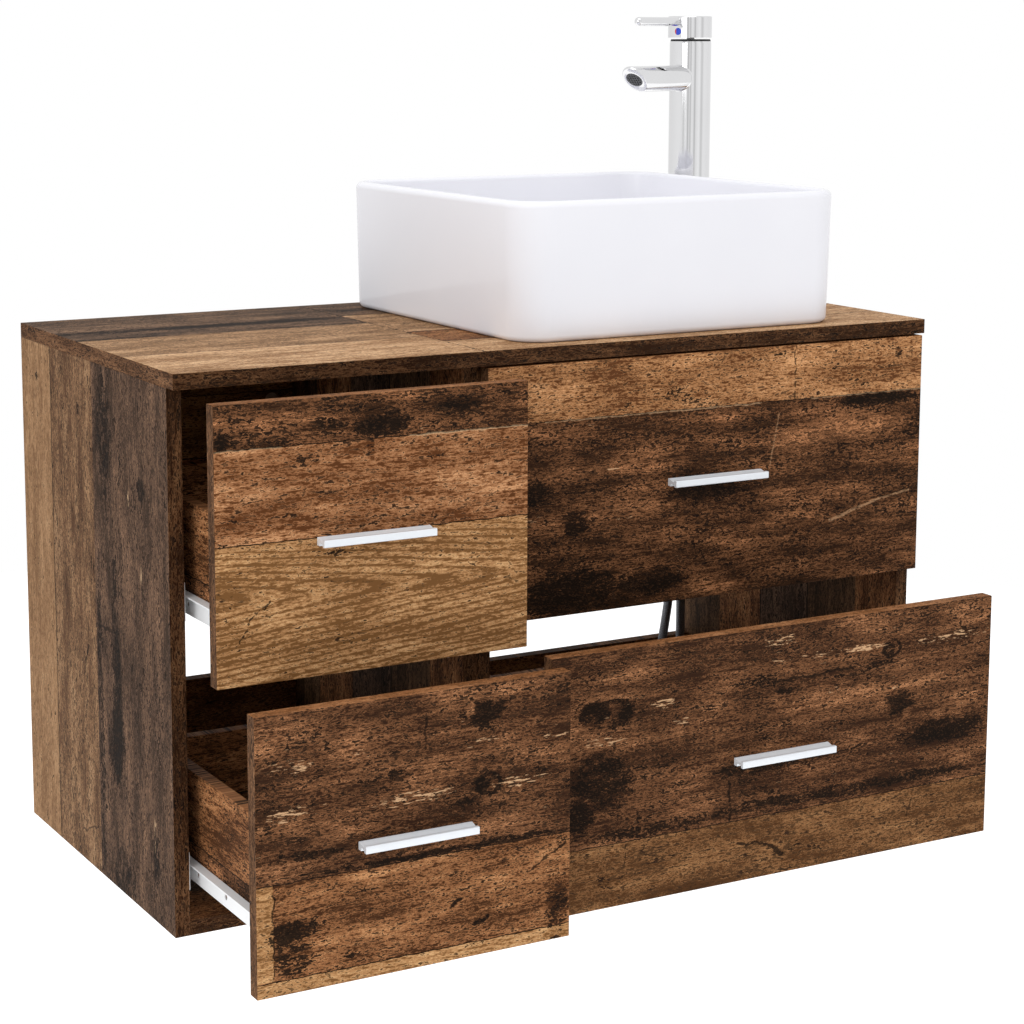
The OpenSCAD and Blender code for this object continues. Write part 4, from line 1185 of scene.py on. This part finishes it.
def build_tap_body():
    """The column, with a black band on its crown that stands for the shade in the gap under the cap,
    and the spout cut off at an angle.
    """
    profile = [(0, 43.5 * MM), (16.5 * MM, 43.5 * MM), (16.5 * MM, 0), (22.1 * MM, 0),
               (22.5 * MM, 0.15 * MM), (COLUMN_R, 0.6 * MM)]
    steps = 40
    for i in range(1, steps + 1):
        profile.append((COLUMN_R, 0.6 * MM + (PIVOT_Z + 3.6 * MM) * i / steps))
    start = math.degrees(math.asin(4.6 * MM / CROWN_R))
    end = math.degrees(math.asin(9 * MM / CROWN_R))
    profile += arc(0, PIVOT_Z, CROWN_R, start, end, 6)
    profile += [(16.2 * MM, CROWN_TOP), (15.95 * MM, CROWN_TOP - 0.3 * MM),
                (15.95 * MM, PIVOT_Z - 12 * MM), (0, PIVOT_Z - 12 * MM)]
    column = lathe(ON_TAP, profile, 128)

    sides = 96
    root = 2.2 * MM
    rings = []

    def around(radius, reach):
        out = []
        for angle in turns(sides):
            y = radius * math.cos(angle)
            z = radius * math.sin(angle)
            out.append(ON_TAP @ Vector((reach(y, z), y, SPOUT_Z + z)))
        rings.append(out)

    for step in range(7):
        turn = math.radians(15 * step)
        out = root * (1 - math.cos(turn)) - 0.3 * MM
        around(SPOUT_R + root * (1 - math.sin(turn)),
               lambda y, z, out=out: math.sqrt(COLUMN_R ** 2 - y * y) + out)
    length = SPOUT_REACH - SPOUT_R
    for share in (0.3, 0.5, 0.7):
        around(SPOUT_R, lambda y, z, share=share: 24 * MM + (length + z - 26 * MM) * share)
    for step in range(10):
        turn = math.radians(10 * step)
        tip = []
        for angle in turns(sides):
            upper = 0.5 + 0.5 * math.sin(angle)
            edge = (0.9 + 4.6 * upper * upper) * MM
            radius = SPOUT_R - edge * (1 - math.cos(turn))
            z = radius * math.sin(angle)
            back = 1.3 * edge * (1 - math.sin(turn))
            tip.append(ON_TAP @ Vector((length + z - back, radius * math.cos(angle), SPOUT_Z + z)))
        rings.append(tip)
    slope = Matrix.Rotation(math.radians(135), 4, "Y")
    mouth = ON_TAP @ Matrix.Translation((length - 1 * MM, 0, SPOUT_Z - 1 * MM)) @ slope
    for radius, height in ((10.6 * MM, 0), (AERATOR_R, -0.5 * MM), (AERATOR_R, -9 * MM)):
        rings.append([
            mouth @ Vector((-radius * math.sin(a), radius * math.cos(a), height))
            for a in turns(sides)
        ])
    spout = loft(rings)
    mesh = mesh_of("tap_column_and_spout", column, spout)
    add_object("tap_column_and_spout", mesh, "vanity", "tap_body", CHROME)
    # The top of the crown, just under the cap, takes the black rubber finish: painted shade for the
    # dark gap between column and cap.
    mesh.materials.append(RUBBER)
    for polygon in mesh.polygons:
        if polygon.center.z > TAP_BASE + CROWN_TOP - PAINTED_SHADE_RING_H:
            polygon.material_index = 1


def build_cap():
    """The turning cap, hollowed to swing over the column's round crown."""
    low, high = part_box("tap_cap")
    top = high.z - TAP_BASE
    bottom = low.z - TAP_BASE
    radius, shift, hollow = 24 * MM, 1.6 * MM, 23.5 * MM
    top_edge, foot = 1.4 * MM, 0.4 * MM
    outer = [(0.00002, top)] + [(radius * share, top) for share in (0.35, 0.7)]
    outer += [(radius - top_edge + r, z) for r, z in arc(0, top - top_edge, top_edge, 90, 0, 6)]
    outer += [(radius, bottom + foot), (radius - foot, bottom)]
    off_centre = ON_TAP @ Matrix.Translation((shift, 0, 0))
    rings = [circle(off_centre, r, z, 128) for r, z in outer]
    start = math.degrees(math.asin((bottom - PIVOT_Z) / hollow))
    rings += [circle(ON_TAP, max(r, 0.00002), z, 128)
              for r, z in arc(0, PIVOT_Z, hollow, start, 90, 10)]
    mesh = mesh_of("mixer_cap", loft(rings))
    add_object("mixer_cap", mesh, "mixer_lever", "tap_cap", CHROME)


def build_lever():
    """A straight rod with a round tip."""
    low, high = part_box("tap_lever")
    centre_z = (low.z + high.z) / 2 - TAP_BASE
    radius, start, tip = 4.75 * MM, 14 * MM, 106 * MM
    along = ON_TAP @ Matrix.Translation((0, 0, centre_z)) @ Matrix.Rotation(math.radians(90), 4, "Y")
    profile = [(0, start), (radius, start)]
    profile += [(radius, start + (tip - radius - start) * i / 8) for i in range(1, 8)]
    profile += arc(0, tip - radius, radius, 0, 90, 10)
    mesh = mesh_of("mixer_lever_rod", lathe(along, profile, 64))
    add_object("mixer_lever_rod", mesh, "mixer_lever", "tap_lever", CHROME)


def build_dot():
    """The round marker let into the cap, under the lever."""
    low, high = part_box("tap_dot")
    centre_z = (low.z + high.z) / 2 - TAP_BASE
    radius, face = 4 * MM, (24 + 1.6 + 0.2) * MM
    along = ON_TAP @ Matrix.Translation((0, 0, centre_z)) @ Matrix.Rotation(math.radians(90), 4, "Y")
    profile = [(0, face - 1.6 * MM), (radius, face - 1.6 * MM), (radius, face - 0.3 * MM),
               (radius - 0.3 * MM, face - 0.05 * MM), (radius * 0.6, face), (0, face)]
    mesh = mesh_of("mixer_marker", lathe(along, profile, 48))
    layer = mesh.uv_layers.new(name="across")
    back = along.inverted()
    for loop in mesh.loops:
        local = back @ mesh.vertices[loop.vertex_index].co
        layer.data[loop.index].uv = (0.5 + local.y / (2 * radius), 0.5 - local.x / (2 * radius))
    add_object("mixer_marker", mesh, "mixer_lever", "tap_dot", MARKER)


build_tap_body()
build_cap()
build_lever()
build_dot()


# ---------------------------------------------------------------- handles
# The bar's section: millimetres out from the drawer front and up from its lower edge
BAR = [(0, 0), (0, 6.9), (0.6, 7.1), (2, 7.1), (8.6, 4.9), (9.6, 4.9), (10.3, 6.5), (14, 6.5),
       (14.5, 6), (14.5, 0.6), (13.9, 0), (11, 0), (10.4, 2.6), (5.4, 2.6), (4.6, 0)]
BAR_SCREW_UP = 2.3 * MM
BAR_PITCH = 96 * MM
FRONT_T = 14 * MM


def cut_corners(points, amount):
    """Each corner of a closed outline becomes three points, rounding it off a little."""
    out = []
    for i, (x, y) in enumerate(points):
        corner = Vector((x, y))
        before = Vector(points[i - 1]) - corner
        after = Vector(points[(i + 1) % len(points)]) - corner
        size = min(amount, before.length * 0.4, after.length * 0.4)
        first = corner + before.normalized() * size
        last = corner + after.normalized() * size
        out += [first, (first + last) / 4 + corner / 2, last]
    return out


def inward(points, amount):
    """The outline moved inwards by an amount, for the small bevel at the bar's ends."""
    area = sum(a.x * b.y - b.x * a.y for a, b in zip(points, points[1:] + points[:1]))
    sign = 1 if area > 0 else -1
    out = []
    for i, point in enumerate(points):
        a = (point - points[i - 1]).normalized()
        b = (points[(i + 1) % len(points)] - point).normalized()
        normal = Vector((-(a.y + b.y), a.x + b.x))
        out.append(point + sign * normal.normalized() * amount)
    return out


def build_handle(drawer):
    """A drawn bar handle and the two screws that hold it through the front."""
    low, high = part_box(drawer + "_handle")
    face_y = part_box(drawer + "_front")[0].y
    outline = cut_corners(BAR, 0.35)
    small = inward(outline, 0.22)
    rings = []
    for x, points in ((low.x, small), (low.x + 0.25 * MM, outline),
                      (high.x - 0.25 * MM, outline), (high.x, small)):
        rings.append([Vector((x, face_y - p.x * MM, low.z + p.y * MM)) for p in points])
    shells = [loft(rings)]
    for side in (-1, 1):
        place = Matrix.Translation(((low.x + high.x) / 2 + side * BAR_PITCH / 2, face_y + FRONT_T,
                                    low.z + BAR_SCREW_UP))
        place = place @ Matrix.Rotation(math.radians(-90), 4, "X")
        screw = [(0, -FRONT_T), (2 * MM, -FRONT_T), (2 * MM, 0), (4 * MM, 0),
                 (4 * MM, 1.1 * MM), (3.2 * MM, 1.9 * MM), (1.8 * MM, 2.2 * MM),
                 (1.3 * MM, 1.2 * MM), (0, 1.0 * MM)]
        shells.append(lathe(place, screw, 32))
    mesh = mesh_of(drawer + "_bar_handle", *shells)
    add_object(drawer + "_bar_handle", mesh, drawer + "_drawer", drawer + "_handle",
               HANDLE)


for drawer in DRAWERS:
    build_handle(drawer)


# ---------------------------------------------------------------- floor and light
def build_floor():
    """A large pale floor below the hanging cabinets, kept white by a faint glow."""
    t = Tree("pale_floor")
    speckle = t.noise(t.scaled(t.place(), 0.01), 3.0, 0.5)
    t.set(Base_Color=t.mix(speckle, (0.90, 0.90, 0.90, 1.0), (0.94, 0.94, 0.94, 1.0)))
    t.shader.inputs["Roughness"].default_value = 0.9
    t.shader.inputs["Specular IOR Level"].default_value = 0.1
    t.set(Emission_Color=(1.0, 1.0, 1.0, 1.0))
    t.shader.inputs["Emission Strength"].default_value = FLOOR_GLOW
    sides = 96
    level = CAD_BOX[0][2] - FLOOR_DROP
    corners = circle(Matrix.Identity(4), FLOOR_REACH, level, sides)
    mesh = bpy.data.meshes.new("floor")
    mesh.from_pydata(corners, [], [tuple(range(sides))])
    mesh.materials.append(t.material)
    floor = bpy.data.objects.new("floor", mesh)
    bpy.context.scene.collection.objects.link(floor)


def build_world():
    """Even white light all round, with soft darker bands behind the camera for the chrome.
    The background itself is plain white."""
    world = bpy.data.worlds.new("studio")
    bpy.context.scene.world = world
    world.use_nodes = True
    w = Nodes(world.node_tree)
    split = w.node("SeparateXYZ", w.node("TexCoord").outputs["Generated"])
    turn = w.math("ARCTAN2", split.outputs[1], split.outputs[0])
    share = w.node("MapRange", turn, -math.pi, math.pi).outputs[0]
    sky = [((bearing + 180) / 360, (level, level, level, 1.0)) for bearing, level in SKY]
    bands = w.node("Background", w.ramp(share, sky, "EASE"), SKY_STRENGTH)
    plain = w.node("Background", (1.0, 1.0, 1.0, 1.0))
    to_camera = w.node("LightPath").outputs["Is Camera Ray"]
    both = w.node("MixShader", to_camera, bands.outputs[0], plain.outputs[0])
    w.node("OutputWorld", both.outputs[0])


def area_light(name, place, size, watts, towards=(0.0, -0.2, 0.0)):
    """A soft light panel at a place, turned towards a point."""
    data = bpy.data.lights.new(name, "AREA")
    data.shape = "RECTANGLE"
    data.size = size[0]
    data.size_y = size[1]
    data.energy = watts
    light = bpy.data.objects.new(name, data)
    light.location = place
    aim = Vector(towards) - Vector(place)
    light.rotation_euler = aim.to_track_quat("-Z", "Y").to_euler()
    bpy.context.scene.collection.objects.link(light)


FLOOR_DROP = 0.5
FLOOR_REACH = 3.2
FLOOR_GLOW = 0.35
SKY_STRENGTH = 0.92
# Brightness by bearing, in degrees from +X round to +Y
SKY = [(-180, 1.05), (-166, 0.98), (-158, 0.72), (-150, 0.98), (-141, 1.05), (-134, 0.62),
       (-127, 0.95), (-120, 0.70), (-113, 1.05), (-104, 1.0), (-96, 0.66), (-88, 1.0),
       (-70, 1.1), (-55, 0.8), (-40, 1.05), (0, 1.0), (90, 0.95), (180, 1.05)]
build_floor()
build_world()
area_light("overhead", (-0.2, -0.9, 2.6), (2.0, 1.6), 20.0)
area_light("side_soft", (-3.0, -1.6, 1.0), (1.6, 1.6), 22.0)
